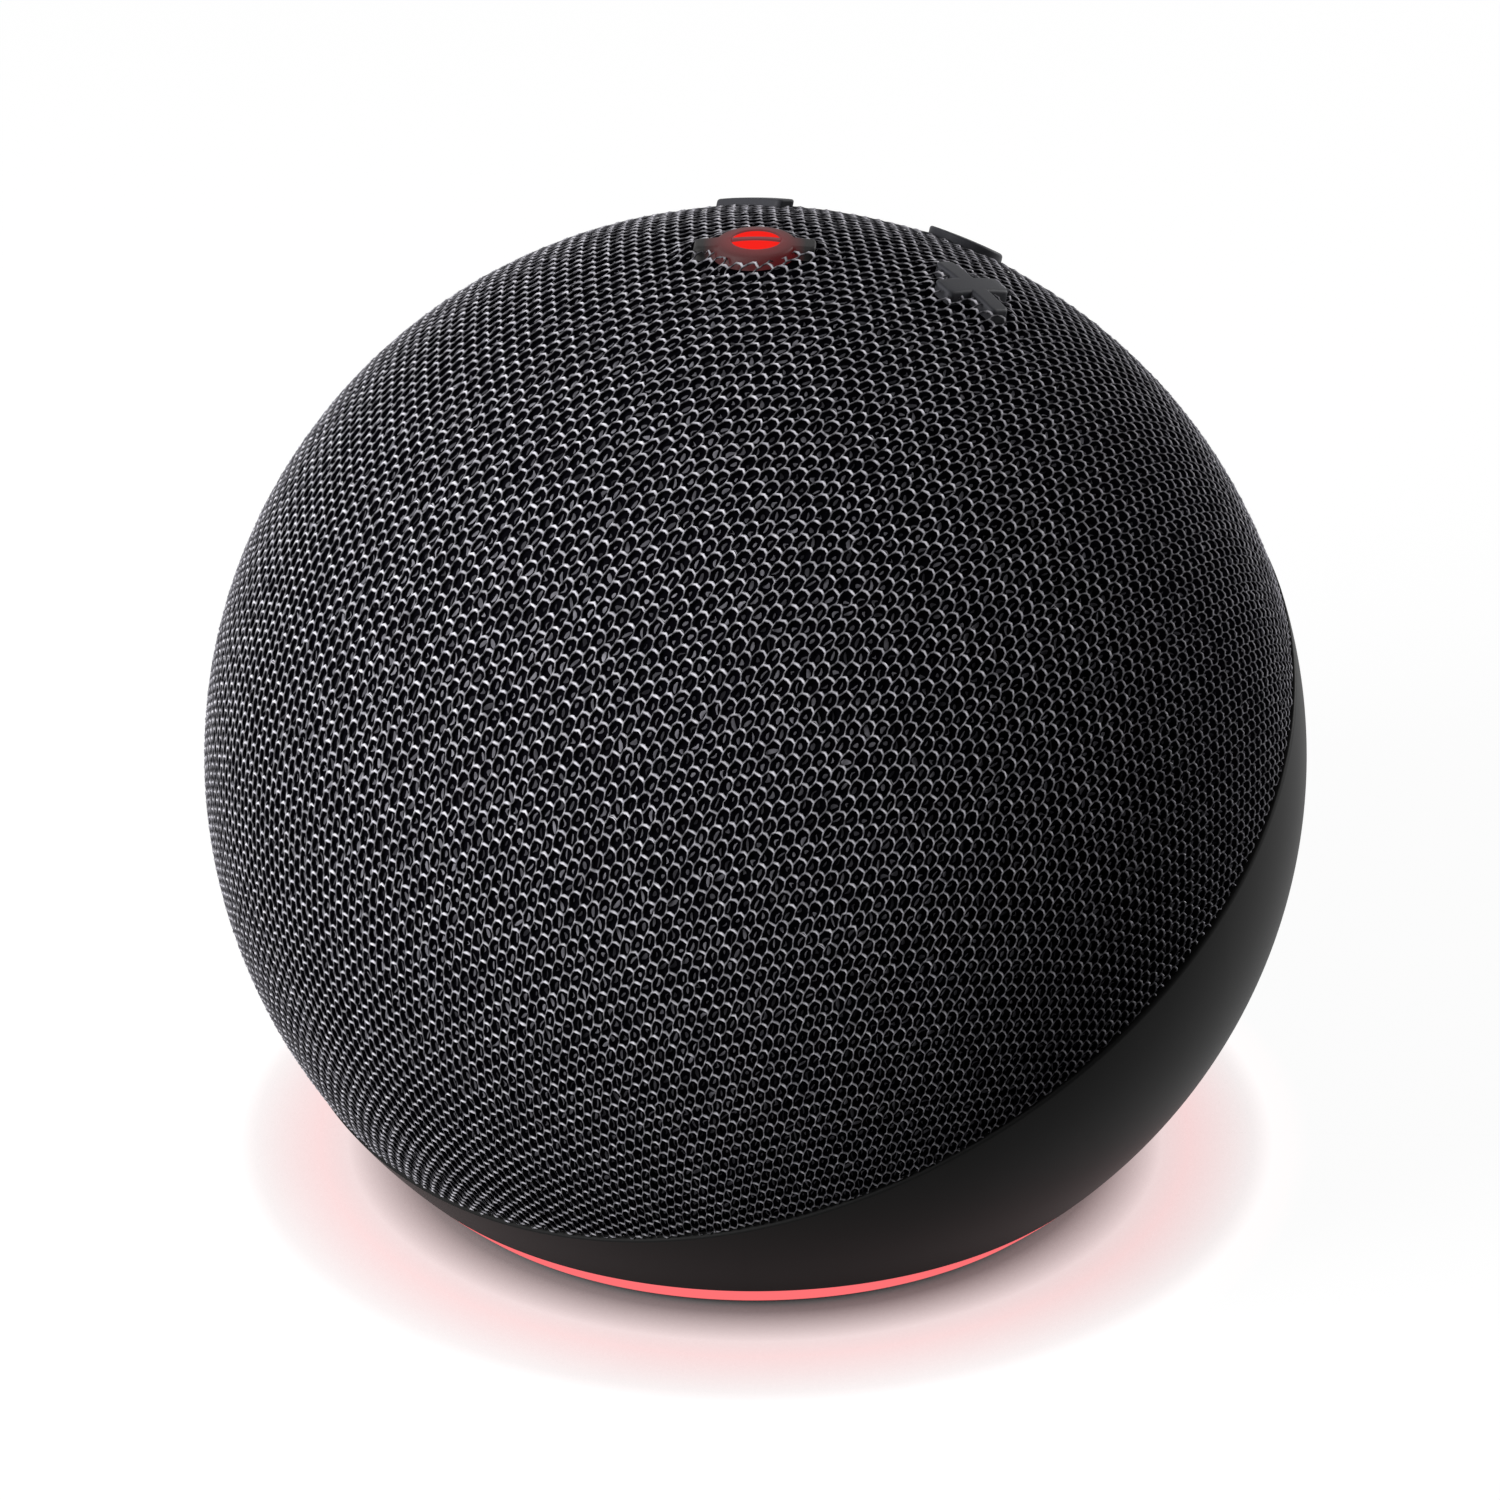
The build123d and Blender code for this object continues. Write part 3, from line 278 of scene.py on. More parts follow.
def key_distance(name, x, y):
    """Distance from a key's outline, negative inside it, for points about the key's middle."""
    if name == "volume_up":
        flat_bar = bar_distance(x, y, KEY_BAR, KEY_STROKE)
        return np.minimum(flat_bar, bar_distance(y, x, KEY_BAR, KEY_STROKE))
    if name == "volume_down":
        return bar_distance(x, y, KEY_BAR, KEY_STROKE)
    if name == "action":
        return np.hypot(x, y) - KEY_DISC
    along = x * cos(MUTE_SLASH_TURN) + y * sin(MUTE_SLASH_TURN)
    across = y * cos(MUTE_SLASH_TURN) - x * sin(MUTE_SLASH_TURN)
    slash = bar_distance(along, across, MUTE_SLASH, KEY_STROKE)
    return np.minimum(np.hypot(x, y) - MUTE_RING, slash)


def key_outline(name, angles, offset=0.0):
    """Points of a key's outline, grown by an offset, in directions from the key's middle."""
    low = np.zeros_like(angles)
    high = np.full_like(angles, KEY_BAR + MUTE_SLASH)
    for _ in range(HALVINGS):
        middle = (low + high) / 2
        inside = key_distance(name, middle * np.cos(angles), middle * np.sin(angles)) < offset
        low = np.where(inside, middle, low)
        high = np.where(inside, high, middle)
    return np.stack([low * np.cos(angles), low * np.sin(angles)], axis=1)


def mesh_piece(name, points, faces):
    """A new smooth object from points and faces."""
    mesh = bpy.data.meshes.new(name)
    mesh.from_pydata(points, [], faces)
    mesh.validate()
    mesh.polygons.foreach_set("use_smooth", np.full(len(mesh.polygons), True))
    piece = bpy.data.objects.new(name, mesh)
    bpy.context.scene.collection.objects.link(piece)
    return piece


def new_material(name, colour, roughness, **inputs):
    """A material with its shader set up; the rest of its nodes are added to it."""
    material = bpy.data.materials.new(name)
    material.use_nodes = True
    shader = material.node_tree.nodes["Principled BSDF"]
    shader.inputs["Base Color"].default_value = (*colour, 1.0)
    shader.inputs["Roughness"].default_value = roughness
    for socket, value in inputs.items():
        shader.inputs[socket.replace("_", " ")].default_value = value
    return material


def node(material, kind, **settings):
    """A node of this kind in a material, with its settings and plain inputs."""
    made = material.node_tree.nodes.new(kind)
    for name, value in settings.items():
        if name in made.inputs:
            made.inputs[name].default_value = value
        else:
            setattr(made, name, value)
    return made


def link(material, source, output, target, socket):
    """Join two nodes of a material."""
    material.node_tree.links.new(source.outputs[output], target.inputs[socket])


def grain(material, scale, colours, bump, rough=None):
    """Noise over a material: its colour between two, a bump, and its roughness between two."""
    shader = material.node_tree.nodes["Principled BSDF"]
    place = node(material, "ShaderNodeTexCoord")
    noise = node(material, "ShaderNodeTexNoise", Scale=scale, Detail=GRAIN_DETAIL)
    link(material, place, "Object", noise, "Vector")
    ramp = node(material, "ShaderNodeValToRGB")
    for stop, position, colour in zip(ramp.color_ramp.elements, GRAIN_STOPS, colours):
        stop.position = position
        stop.color = (*colour, 1.0)
    link(material, noise, "Fac", ramp, "Fac")
    link(material, ramp, "Color", shader, "Base Color")
    relief = node(material, "ShaderNodeBump", Strength=bump, Distance=GRAIN_RELIEF)
    link(material, noise, "Fac", relief, "Height")
    link(material, relief, "Normal", shader, "Normal")
    if rough:
        span = node(material, "ShaderNodeMapRange")
        span.inputs["To Min"].default_value = rough[0]
        span.inputs["To Max"].default_value = rough[1]
        link(material, noise, "Fac", span, "Value")
        link(material, span, "Result", shader, "Roughness")


def glow(material, colour, strength):
    """Make a material give light."""
    shader = material.node_tree.nodes["Principled BSDF"]
    shader.inputs["Emission Color"].default_value = (*colour, 1.0)
    shader.inputs["Emission Strength"].default_value = strength


def toned(material, dark):
    """Darken a material's grain by the tone that its mesh holds, which paints sheen and shade on the
    yarns.
    """
    shader = material.node_tree.nodes["Principled BSDF"]
    grained = shader.inputs["Base Color"].links[0].from_socket
    tone = node(material, "ShaderNodeAttribute", attribute_name="tone")
    blend = node(material, "ShaderNodeMix", data_type="RGBA")
    for socket in blend.inputs:
        if socket.identifier == "A_Color":
            socket.default_value = (*dark, 1.0)
        if socket.identifier == "B_Color":
            material.node_tree.links.new(grained, socket)
    link(material, tone, "Fac", blend, "Factor")
    for socket in blend.outputs:
        if socket.identifier == "Result_Color":
            material.node_tree.links.new(socket, shader.inputs["Base Color"])


def rim_glow(material, middle, reaches, strength, colour):
    """Light a material from inside: fully out to the first reach from a middle point, and not at all
    past the second."""
    glow(material, colour, 0.0)
    place = node(material, "ShaderNodeTexCoord")
    reach = node(material, "ShaderNodeVectorMath", operation="DISTANCE")
    reach.inputs[1].default_value = middle
    link(material, place, "Object", reach, 0)
    fade = node(material, "ShaderNodeMapRange")
    fade.inputs["From Min"].default_value = reaches[0]
    fade.inputs["From Max"].default_value = reaches[1]
    fade.inputs["To Min"].default_value = strength
    fade.inputs["To Max"].default_value = 0.0
    link(material, reach, "Value", fade, "Value")
    link(material, fade, "Result", material.node_tree.nodes["Principled BSDF"], "Emission Strength")


# Materials: colour, roughness and gloss of each, and the two colours that its grain runs between
# The yarns' light grain is painted sheen on a near-black yarn; the tone mixes it down to YARN_DARK,
# painted shade toward the holes
YARN_DARK = (0.004, 0.0038, 0.0055)
yarn = new_material("yarn", colour=(0.85, 0.83, 0.9), roughness=0.7, Specular_IOR_Level=0.0)
grain(yarn, YARN_GRAIN, colours=((0.74, 0.725, 0.81), (0.96, 0.94, 1.0)), bump=0.6)
toned(yarn, YARN_DARK)
# The lower yarns' light grain is painted sheen as well, each yarn's share of it held as its tone
inner_yarn = new_material("inner_yarn", colour=(0.6, 0.59, 0.65), roughness=0.7, Specular_IOR_Level=0.0)
grain(inner_yarn, YARN_GRAIN, colours=((0.4, 0.39, 0.44), (0.8, 0.78, 0.87)), bump=0.6)
toned(inner_yarn, YARN_DARK)
# Near-black sheet under the knit: painted shade deep in the holes
hole_shade_sheet = new_material(
    "hole_shade_sheet",
    colour=(0.003, 0.0028, 0.0042),
    roughness=0.95,
    Specular_IOR_Level=0.0,
)
grain(hole_shade_sheet, CLOTH_GRAIN, colours=((0.002, 0.0018, 0.0028), (0.004, 0.0038, 0.0056)), bump=0.4)
shell_plastic = new_material(
    "shell_plastic",
    colour=(0.016, 0.016, 0.016),
    roughness=0.45,
    Specular_IOR_Level=0.032,
)
grain(
    shell_plastic,
    PLASTIC_GRAIN,
    colours=((0.014, 0.014, 0.014), (0.018, 0.018, 0.018)),
    bump=0.1,
    rough=(0.42, 0.5),
)
key_plastic = new_material(
    "key_plastic",
    colour=(0.047, 0.0475, 0.054),
    roughness=0.5,
    Specular_IOR_Level=0.08,
)
grain(key_plastic, PLASTIC_GRAIN, colours=((0.042, 0.0425, 0.049), (0.052, 0.0525, 0.059)), bump=0.3)
mute_plastic = new_material(
    "mute_plastic",
    colour=(0.034, 0.033, 0.033),
    roughness=0.5,
    Specular_IOR_Level=0.06,
)
grain(mute_plastic, PLASTIC_GRAIN, colours=((0.03, 0.029, 0.029), (0.038, 0.037, 0.037)), bump=0.3)
mute_middle = (0.0, 0.0, CENTRE_HEIGHT + ball_radius)
rim_glow(mute_plastic, mute_middle, MUTE_GLOW_REACH, MUTE_GLOW, MUTE_GLOW_COLOUR)
light_guide = new_material(
    "light_guide",
    colour=(0.05, 0.01, 0.012),
    roughness=0.4,
    Specular_IOR_Level=0.0,
)
grain(light_guide, LIGHT_GRAIN, colours=((0.045, 0.008, 0.01), (0.055, 0.012, 0.014)), bump=0.1)
glow(light_guide, colour=(1.0, 0.17, 0.18), strength=1.0)
lens_red = new_material("lens_red", colour=(0.05, 0.002, 0.001), roughness=0.4, Specular_IOR_Level=0.0)
grain(lens_red, LIGHT_GRAIN, colours=((0.045, 0.002, 0.001), (0.055, 0.003, 0.002)), bump=0.1)
glow(lens_red, colour=(1.0, 0.019, 0.014), strength=0.9)


def plain_finish(slot):
    """A grained material from a slot of the record, for the pieces inside."""
    base = slot["base_color"]
    metal = slot["class"] in PLAIN_METALS
    smoothest, usual, roughest = METAL_ROUGHNESS if metal else PLAIN_ROUGHNESS
    made = new_material(slot["slot"], base, usual, Metallic=1.0 if metal else 0.0)
    shades = [tuple(min(1.0, shade * c) for c in base) for shade in PLAIN_SHADES]
    grain(made, PLAIN_GRAIN, shades, PLAIN_BUMP, rough=(smoothest, roughest))
    return made


def dress_cad_nodes():
    """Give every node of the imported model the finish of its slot."""
    own = {
        "shell_plastic": shell_plastic,
        "key_plastic": key_plastic,
        "light_guide": light_guide,
        "lens_red": lens_red,
    }
    finishes = {}
    for slot in frame["record"]["materials"]:
        finishes[slot["slot"]] = own.get(slot["slot"]) or plain_finish(slot)
    for subpart in frame["record"]["subparts"]:
        piece = frame["nodes"][subpart["node"]]
        piece.data.materials.clear()
        piece.data.materials.append(finishes[subpart["material_slot"]])


def hole_centres():
    """Middles of the knit's holes on the flat cloth, out to just past the seam."""
    count = int(seam_reach / HOLE_PITCH) + 2
    rows = int(seam_reach / HOLE_ROW) + 2
    column, row = np.meshgrid(np.arange(-count, count + 1), np.arange(-rows, rows + 1), indexing="ij")
    x = column.ravel() * HOLE_PITCH
    y = (row.ravel() + 0.5 * (column.ravel() % 2)) * HOLE_ROW
    inside = np.hypot(x, y) < seam_reach + HOLE_PITCH / 2
    return np.stack([x[inside], y[inside]], axis=1)


def turned(flat):
    """Turn points of the flat cloth to the run of the knit."""
    x = flat[..., 0] * cos(KNIT_TURN) - flat[..., 1] * sin(KNIT_TURN)
    y = flat[..., 0] * sin(KNIT_TURN) + flat[..., 1] * cos(KNIT_TURN)
    return np.stack([x, y], axis=-1)


def fit_edges(flat, depth):
    """Draw points that lie past the seam or in a key's opening back to its edge, tucked under."""
    reach = np.hypot(flat[:, 0], flat[:, 1])
    past = np.maximum(reach - seam_reach, 0)
    flat = flat * (np.minimum(reach, seam_reach) / np.maximum(reach, TINY))[:, None]
    depth = depth + np.minimum(past, EDGE_TUCK)
    hidden = past > 0
    for name, (key_u, key_v) in KEY_PLACES.items():
        for _ in range(EDGE_PASSES):
            directions = flat_to_direction(flat)
            x, y = key_coordinates(directions)
            x = x - key_u
            y = y - key_v
            gap = key_distance(name, x, y) - OPENING_GAP
            near = (gap < 0) & (directions @ key_axis > 0)
            if not near.any():
                break
            slope_x = key_distance(name, x + FINE_STEP, y) - key_distance(name, x - FINE_STEP, y)
            slope_y = key_distance(name, x, y + FINE_STEP) - key_distance(name, x, y - FINE_STEP)
            size = np.maximum(np.hypot(slope_x, slope_y), TINY)
            move_x = np.where(near, -gap * slope_x / size, 0)
            move_y = np.where(near, -gap * slope_y / size, 0)
            shift = move_x[:, None] * key_x + move_y[:, None] * key_y
            flat = flat + np.stack([shift @ seam_x, shift @ seam_y], axis=1)
            depth = depth + np.where(near, np.minimum(-gap, EDGE_TUCK), 0)
            hidden = hidden | near
    return flat, np.minimum(depth, EDGE_TUCK + HOLE_DEPTH), hidden


def opening_rise(flat):
    """How far the knit is drawn up round the keys."""
    directions = flat_to_direction(flat)
    x, y = key_coordinates(directions)
    rise = np.zeros(len(flat))
    for name, (key_u, key_v) in KEY_PLACES.items():
        gap = np.maximum(key_distance(name, x - key_u, y - key_v), 0)
        near = np.where(directions @ key_axis > 0, np.maximum(1 - gap / OPENING_REACH, 0), 0)
        rise = np.maximum(rise, OPENING_RISE[name] * near)
    return rise


def cell_loops(centres):
    """Crest, flank and hole edge of the yarns round each hole: flat points and depths."""
    corners = [
        (BAR_HALF, HOLE_ROW / 2),
        (SIDE_REACH, 0.0),
        (BAR_HALF, -HOLE_ROW / 2),
        (-BAR_HALF, -HOLE_ROW / 2),
        (-SIDE_REACH, 0.0),
        (-BAR_HALF, HOLE_ROW / 2),
    ]
    crest = []
    bow = []
    drop = []
    width = []
    tone = []
    for i, corner in enumerate(corners):
        following = corners[(i + 1) % len(corners)]
        is_bar = corner[1] == following[1]
        crest.append(corner)
        bow.append(0.0)
        drop.append(JOIN_DROP)
        width.append(SIDE_HALF_WIDTH if corner[1] == 0 else BAR_HALF_WIDTH)
        tone.append(JOIN_TONE)
        crest.append(((corner[0] + following[0]) / 2, (corner[1] + following[1]) / 2))
        bow.append(BAR_BOW if is_bar else 0.0)
        drop.append(0.0 if is_bar else SIDE_DROP)
        width.append(BAR_HALF_WIDTH if is_bar else SIDE_HALF_WIDTH)
        tone.append(BAR_TONE if is_bar else SIDE_TONE)
    crest = np.array(crest)
    bow = np.array(bow)
    inward = -crest / np.linalg.norm(crest, axis=1)[:, None]
    places = centres[:, None, :] + crest[None, :, :]
    rise = np.stack([np.zeros_like(bow), bow], axis=1)
    return places, rise, inward, np.array(drop), np.array(width), np.array(tone)


def knit_mesh(centres):
    """Points, depths and faces of the whole net, with each crest point shared by its holes."""
    places, rise, inward, drop, width, tone = cell_loops(centres)
    cells, sides = places.shape[:2]
    keys = np.round(places.reshape(-1, 2) / FINE_STEP).astype(np.int64)
    _, first, crest_index = np.unique(keys, axis=0, return_index=True, return_inverse=True)
    crest_index = crest_index.reshape(cells, sides)
    shared = places.reshape(-1, 2)[first]
    crest_rise = np.tile(rise, (cells, 1))[first]
    crest_drop = np.tile(drop, cells)[first]
    crest_tone = np.tile(tone, cells)[first]
    crest_count = len(first)
    wander = rng.normal(0, KNIT_JITTER, (crest_count, 2))
    lift = np.abs(rng.normal(0, BAR_DROP, crest_count))
    crest_flat = shared + crest_rise + wander
    crest_depth = crest_drop + lift
    crest_tone = crest_tone * np.clip(rng.normal(1, TONE_SPREAD, crest_count), *TONE_LIMITS)
    spread = rng.normal(1, WIDTH_SPREAD, (cells, sides))
    loop_flat = crest_flat[crest_index]
    loop_depth = crest_depth[crest_index]
    reach = (width * spread)[..., None]
    flank_flat = loop_flat + inward * reach * FLANK_REACH
    flank_depth = loop_depth + FLANK_DROP * width * spread
    edge_flat = loop_flat + inward * reach
    edge_depth = loop_depth + HOLE_DEPTH * rng.normal(1, DEPTH_SPREAD, (cells, sides))
    flat = np.concatenate([crest_flat, flank_flat.reshape(-1, 2), edge_flat.reshape(-1, 2)])
    depth = np.concatenate([crest_depth, flank_depth.ravel(), edge_depth.ravel()])
    # Painted sheen and shade: crests keep their tone, flanks and hole edges are darkened from it toward
    # the holes
    loop_tone = crest_tone[crest_index]
    tones = np.concatenate([crest_tone, FLANK_TONE * loop_tone.ravel(), EDGE_TONE * loop_tone.ravel()])
    flank_index = crest_count + np.arange(cells * sides).reshape(cells, sides)
    edge_index = flank_index + cells * sides
    faces = []
    for outer, inner in ((crest_index, flank_index), (flank_index, edge_index)):
        outer_next = np.roll(outer, -1, axis=1)
        inner_next = np.roll(inner, -1, axis=1)
        faces.append(np.stack([outer, inner, inner_next, outer_next], axis=2))
    faces = np.stack(faces, axis=1)
    return flat, depth, tones, faces


def point_normals(points, faces):
    """Outward normals of a mesh of four-sided faces, one for each point."""
    across = points[faces[:, 2]] - points[faces[:, 0]]
    along = points[faces[:, 3]] - points[faces[:, 1]]
    turn = np.cross(across, along)
    normals = np.zeros_like(points)
    for corner in range(4):
        np.add.at(normals, faces[:, corner], turn)
    return normals / np.maximum(np.linalg.norm(normals, axis=1), TINY**2)[:, None]


def build_knit():
    """The knit over the dome, in panels, with its edges tucked at the seam and round the keys."""
    centres = hole_centres()
    flat, depth, tones, faces = knit_mesh(centres)
    flat, depth, hidden = fit_edges(turned(flat), depth)
    points = on_ball(flat_to_direction(flat), ball_radius - depth + opening_rise(flat))
    panel = (centres[:, 0] > 0).astype(int) + 2 * (centres[:, 1] > 0).astype(int)
    every_face = faces.reshape(-1, 4)
    face_panel = np.repeat(panel, faces.shape[1] * faces.shape[2])
    shown = ~hidden[every_face].all(axis=1)
    every_face = every_face[shown]
    face_panel = face_panel[shown]
    normals = point_normals(points, every_face)
    pieces = []
    for i in range(KNIT_PANELS):
        used, index = np.unique(every_face[face_panel == i], return_inverse=True)
        piece = mesh_piece(f"knit_panel_{i + 1}", points[used], index.reshape(-1, 4))
        piece.data.normals_split_custom_set_from_vertices(normals[used])
        piece.data.materials.append(yarn)
        add_flat_map(piece, flat[used])
        hold_tones(piece, tones[used])
        pieces.append(piece)
    return pieces


def hold_tones(piece, tones):
    """Keep how light the yarn is at each point of a piece, as painted sheen and shade."""
    held = piece.data.attributes.new("tone", "FLOAT", "POINT")
    held.data.foreach_set("value", tones.astype(np.float32))


def add_flat_map(piece, flat):
    """Lay a piece of knit out on its flat cloth as its map."""
    low = flat.min(axis=0)
    size = (flat.max(axis=0) - low).max()
    layer = piece.data.uv_layers.new(name="OFBake")
    corner_points = np.zeros(len(piece.data.loops), np.int32)
    piece.data.loops.foreach_get("vertex_index", corner_points)
    layer.data.foreach_set("uv", ((flat - low) / size)[corner_points].astype(np.float32).ravel())


def build_inner_yarns():
    """Short yarns of the lower layer, seen through the holes."""
    centres = hole_centres()
    cells = len(centres)
    steps = np.linspace(-0.5, 0.5, YARN_STEPS)
    sides = np.array([-1.0, 0.0, 1.0])
    slant = rng.normal(0, YARN_SLANT, cells)
    bend = rng.normal(0, YARN_SWAY, cells)
    # Painted sheen of each lower yarn, varied at random
    shine = np.clip(rng.normal(YARN_SHINE, SHINE_SPREAD, cells), SHINE_LEAST, 1)
    length = YARN_LENGTH * rng.uniform(*YARN_LENGTHS, cells)
    width = YARN_HALF_WIDTH * rng.uniform(*YARN_WIDTHS, cells)
    middle = centres + rng.normal(0, YARN_SWAY, (cells, 2)) * np.array(YARN_DRIFT)
    depth = YARN_DEPTH + rng.normal(0, YARN_DEPTH_SPREAD, cells)
    along = length[:, None, None] * steps[None, :, None]
    across = width[:, None, None] * sides[None, None, :] * (1 - YARN_TAPER * steps**2)[None, :, None]
    curl = bend[:, None, None] * (YARN_CURL * steps**2)[None, :, None]
    x = middle[:, 0, None, None] + across + slant[:, None, None] * along + curl
    y = middle[:, 1, None, None] + along - slant[:, None, None] * across
    sink = depth[:, None, None] + YARN_ROUND * np.abs(across)
    flat = turned(np.stack([x, y], axis=-1)).reshape(-1, 2)
    flat, sink, hidden = fit_edges(flat, np.broadcast_to(sink, x.shape).ravel())
    points = on_ball(flat_to_direction(flat), ball_radius - sink)
    grid = np.arange(len(steps) * len(sides)).reshape(len(steps), len(sides))
    corners = [grid[:-1, :-1], grid[:-1, 1:], grid[1:, 1:], grid[1:, :-1]]
    patch = np.stack([c.ravel() for c in corners], axis=1)
    faces = (np.arange(cells) * grid.size)[:, None, None] + patch[None]
    whole = ~hidden.reshape(cells, -1).any(axis=1)
    used, index = np.unique(faces[whole].reshape(-1, 4), return_inverse=True)
    piece = mesh_piece("knit_lower_yarns", points[used], index.reshape(-1, 4))
    piece.data.materials.append(inner_yarn)
    add_flat_map(piece, flat[used])
    hold_tones(piece, np.repeat(shine, grid.size)[used])
    return piece


def build_backing():
    """A near-black sheet under the knit, painted shade for the depths of its holes, with the openings of
    the keys.
    """
    reach = np.linspace(0, seam_reach, BACKING_RINGS + 1)[1:]
    angles = np.linspace(0, 2 * pi, BACKING_POINTS, endpoint=False)
    ring = np.stack([np.cos(angles), np.sin(angles)], axis=1)
    flat = np.concatenate([np.zeros((1, 2)), (reach[:, None, None] * ring).reshape(-1, 2)])
    flat, _, hidden = fit_edges(flat, np.zeros(len(flat)))
    points = on_ball(flat_to_direction(flat), np.full(len(flat), ball_radius - BACKING_DEPTH))
    faces = [(0, 1 + j, 1 + (j + 1) % BACKING_POINTS) for j in range(BACKING_POINTS)]
    faces += [tuple(1 + i for i in f[::-1]) for f in ring_faces(BACKING_RINGS, BACKING_POINTS)]
    faces = [f for f in faces if not hidden[list(f)].all()]
    piece = mesh_piece("knit_shade_sheet", points, faces)
    piece.data.materials.append(hole_shade_sheet)
    return piece


def level_latitude(height):
    """Latitude of the skin's ball at a height over the table."""
    return asin((height - CENTRE_HEIGHT) / SKIN_RADIUS)


def seam_latitudes(azimuths):
    """Latitudes at which the seam's plane cuts the skin's ball, just under the knit's edge."""
    upright = cos(SEAM_TILT)
    sideways = -sin(SEAM_TILT) * np.sin(azimuths)
    turn = np.arctan2(sideways, upright)
    drop = (SEAM_DROP + SEAM_GAP) / SKIN_RADIUS
    return np.arcsin(-drop / np.hypot(upright, sideways)) - turn


def band_points(azimuths, low, high, rows):
    """Loops of points over a band of the skin's ball, with a rounded lip turned in at both edges."""
    shares = np.concatenate([[0, 0], np.linspace(0, 1, rows), [1, 1]])
    sinks = np.zeros(len(shares))
    sinks[:2] = (SKIN_LIP, SKIN_EDGE)
    sinks[-2:] = (SKIN_EDGE, SKIN_LIP)
    inset = np.zeros(len(shares))
    inset[2] = SKIN_EDGE / SKIN_RADIUS
    inset[-3] = -SKIN_EDGE / SKIN_RADIUS
    latitudes = low + (high - low) * shares[:, None] + inset[:, None]
    along = np.broadcast_to(azimuths, latitudes.shape)
    directions = np.stack([
        np.cos(along) * np.cos(latitudes),
        np.sin(along) * np.cos(latitudes),
        np.sin(latitudes),
    ], axis=-1)
    reach = np.broadcast_to(SKIN_RADIUS - sinks[:, None], latitudes.shape)
    return on_ball(directions, reach).reshape(-1, 3), len(shares)


def cut_scoop(points, faces):
    """Cut the round mouth of the power inlet out of the skin and turn its edge in."""
    height = mount_height("power_inlet")
    gap = np.hypot(points[:, 0], points[:, 2] - height) - SCOOP_RADIUS
    gap = np.where(points[:, 1] > 0, gap, SCOOP_RADIUS)
    points = list(points)
    crossings = {}
    kept = []
    for face in faces:
        if all(gap[i] >= 0 for i in face):
            kept.append(face)
            continue
        corners = []
        for i, following in zip(face, face[1:] + face[:1]):
            if gap[i] >= 0:
                corners.append(i)
            if (gap[i] >= 0) != (gap[following] >= 0):
                edge = (min(i, following), max(i, following))
                if edge not in crossings:
                    share = gap[edge[0]] / (gap[edge[0]] - gap[edge[1]])
                    crossings[edge] = len(points)
                    points.append(points[edge[0]] + share * (points[edge[1]] - points[edge[0]]))
                corners.append(crossings[edge])
        if len(corners) > 2:
            kept.append(tuple(corners))
    mouth = sorted(crossings.values(), key=lambda i: np.arctan2(points[i][2] - height, points[i][0]))
    outer = len(points)
    inner = outer + len(mouth)
    points += [points[i] for i in mouth]
    points += [points[i] - np.array([0.0, SKIN_LIP, 0.0]) for i in mouth]
    for j in range(len(mouth)):
        k = (j + 1) % len(mouth)
        kept.append((outer + j, outer + k, inner + k, inner + j))
    return points, kept


def mount_height(name):
    """Height of a mount of the record over the table."""
    return next(m["pos_m"][2] for m in frame["record"]["mounts"] if m["name"] == name)


def build_shell_skin():
    """The even outer skin of the rear shell, from the light ring up to the seam."""
    azimuths = np.linspace(0, 2 * pi, SKIN_POINTS, endpoint=False)
    points, rows = band_points(azimuths, level_latitude(SKIN_LEVEL), seam_latitudes(azimuths), SKIN_ROWS)
    points, faces = cut_scoop(points, ring_faces(rows, SKIN_POINTS))
    piece = mesh_piece("rear_shell_skin", points, faces)
    piece.data.materials.append(shell_plastic)
    return piece


def build_ring_face():
    """The lit outer face of the light ring."""
    azimuths = np.linspace(0, 2 * pi, SKIN_POINTS, endpoint=False)
    low, high = [np.full(SKIN_POINTS, level_latitude(level)) for level in RING_LEVELS]
    points, rows = band_points(azimuths, low, high, RING_ROWS)
    piece = mesh_piece("light_ring_face", points, ring_faces(rows, SKIN_POINTS))
    piece.data.materials.append(light_guide)
    return piece


def cap_points(name, outline, drop):
    """Points of a key over its outline, at a drop below the key's top surface. The mute key swells
    towards its middle."""
    u, v = KEY_PLACES[name]
    x = outline[:, 0] + u
    y = outline[:, 1] + v
    proud = KEY_PROUD[name]
    if name == "mic_mute":
        reach = np.minimum(np.hypot(outline[:, 0], outline[:, 1]) / MUTE_RING, 1)
        proud = proud + MUTE_DOME * (1 - reach**2)
    height = np.sqrt((ball_radius + proud) ** 2 - x**2 - y**2) - drop
    return ball_centre + x[:, None] * key_x + y[:, None] * key_y + height[:, None] * key_axis


def ring_faces(loops, count):
    """Faces between loops of points that follow each other in one list."""
    faces = []
    for i in range(loops - 1):
        for j in range(count):
            k = (j + 1) % count
            faces.append((i * count + j, i * count + k, (i + 1) * count + k, (i + 1) * count + j))
    return faces


def rounded_rim(name, angles):
    """Loops of a key from the foot of its wall over its rounded edge."""
    loops = [cap_points(name, key_outline(name, angles), KEY_WALL)]
    for i in range(EDGE_STEPS + 1):
        turn = pi / 2 * i / EDGE_STEPS
        inset = KEY_EDGE * (1 - cos(turn))
        drop = KEY_EDGE * (1 - sin(turn))
        loops.append(cap_points(name, key_outline(name, angles, -inset), drop))
    return loops


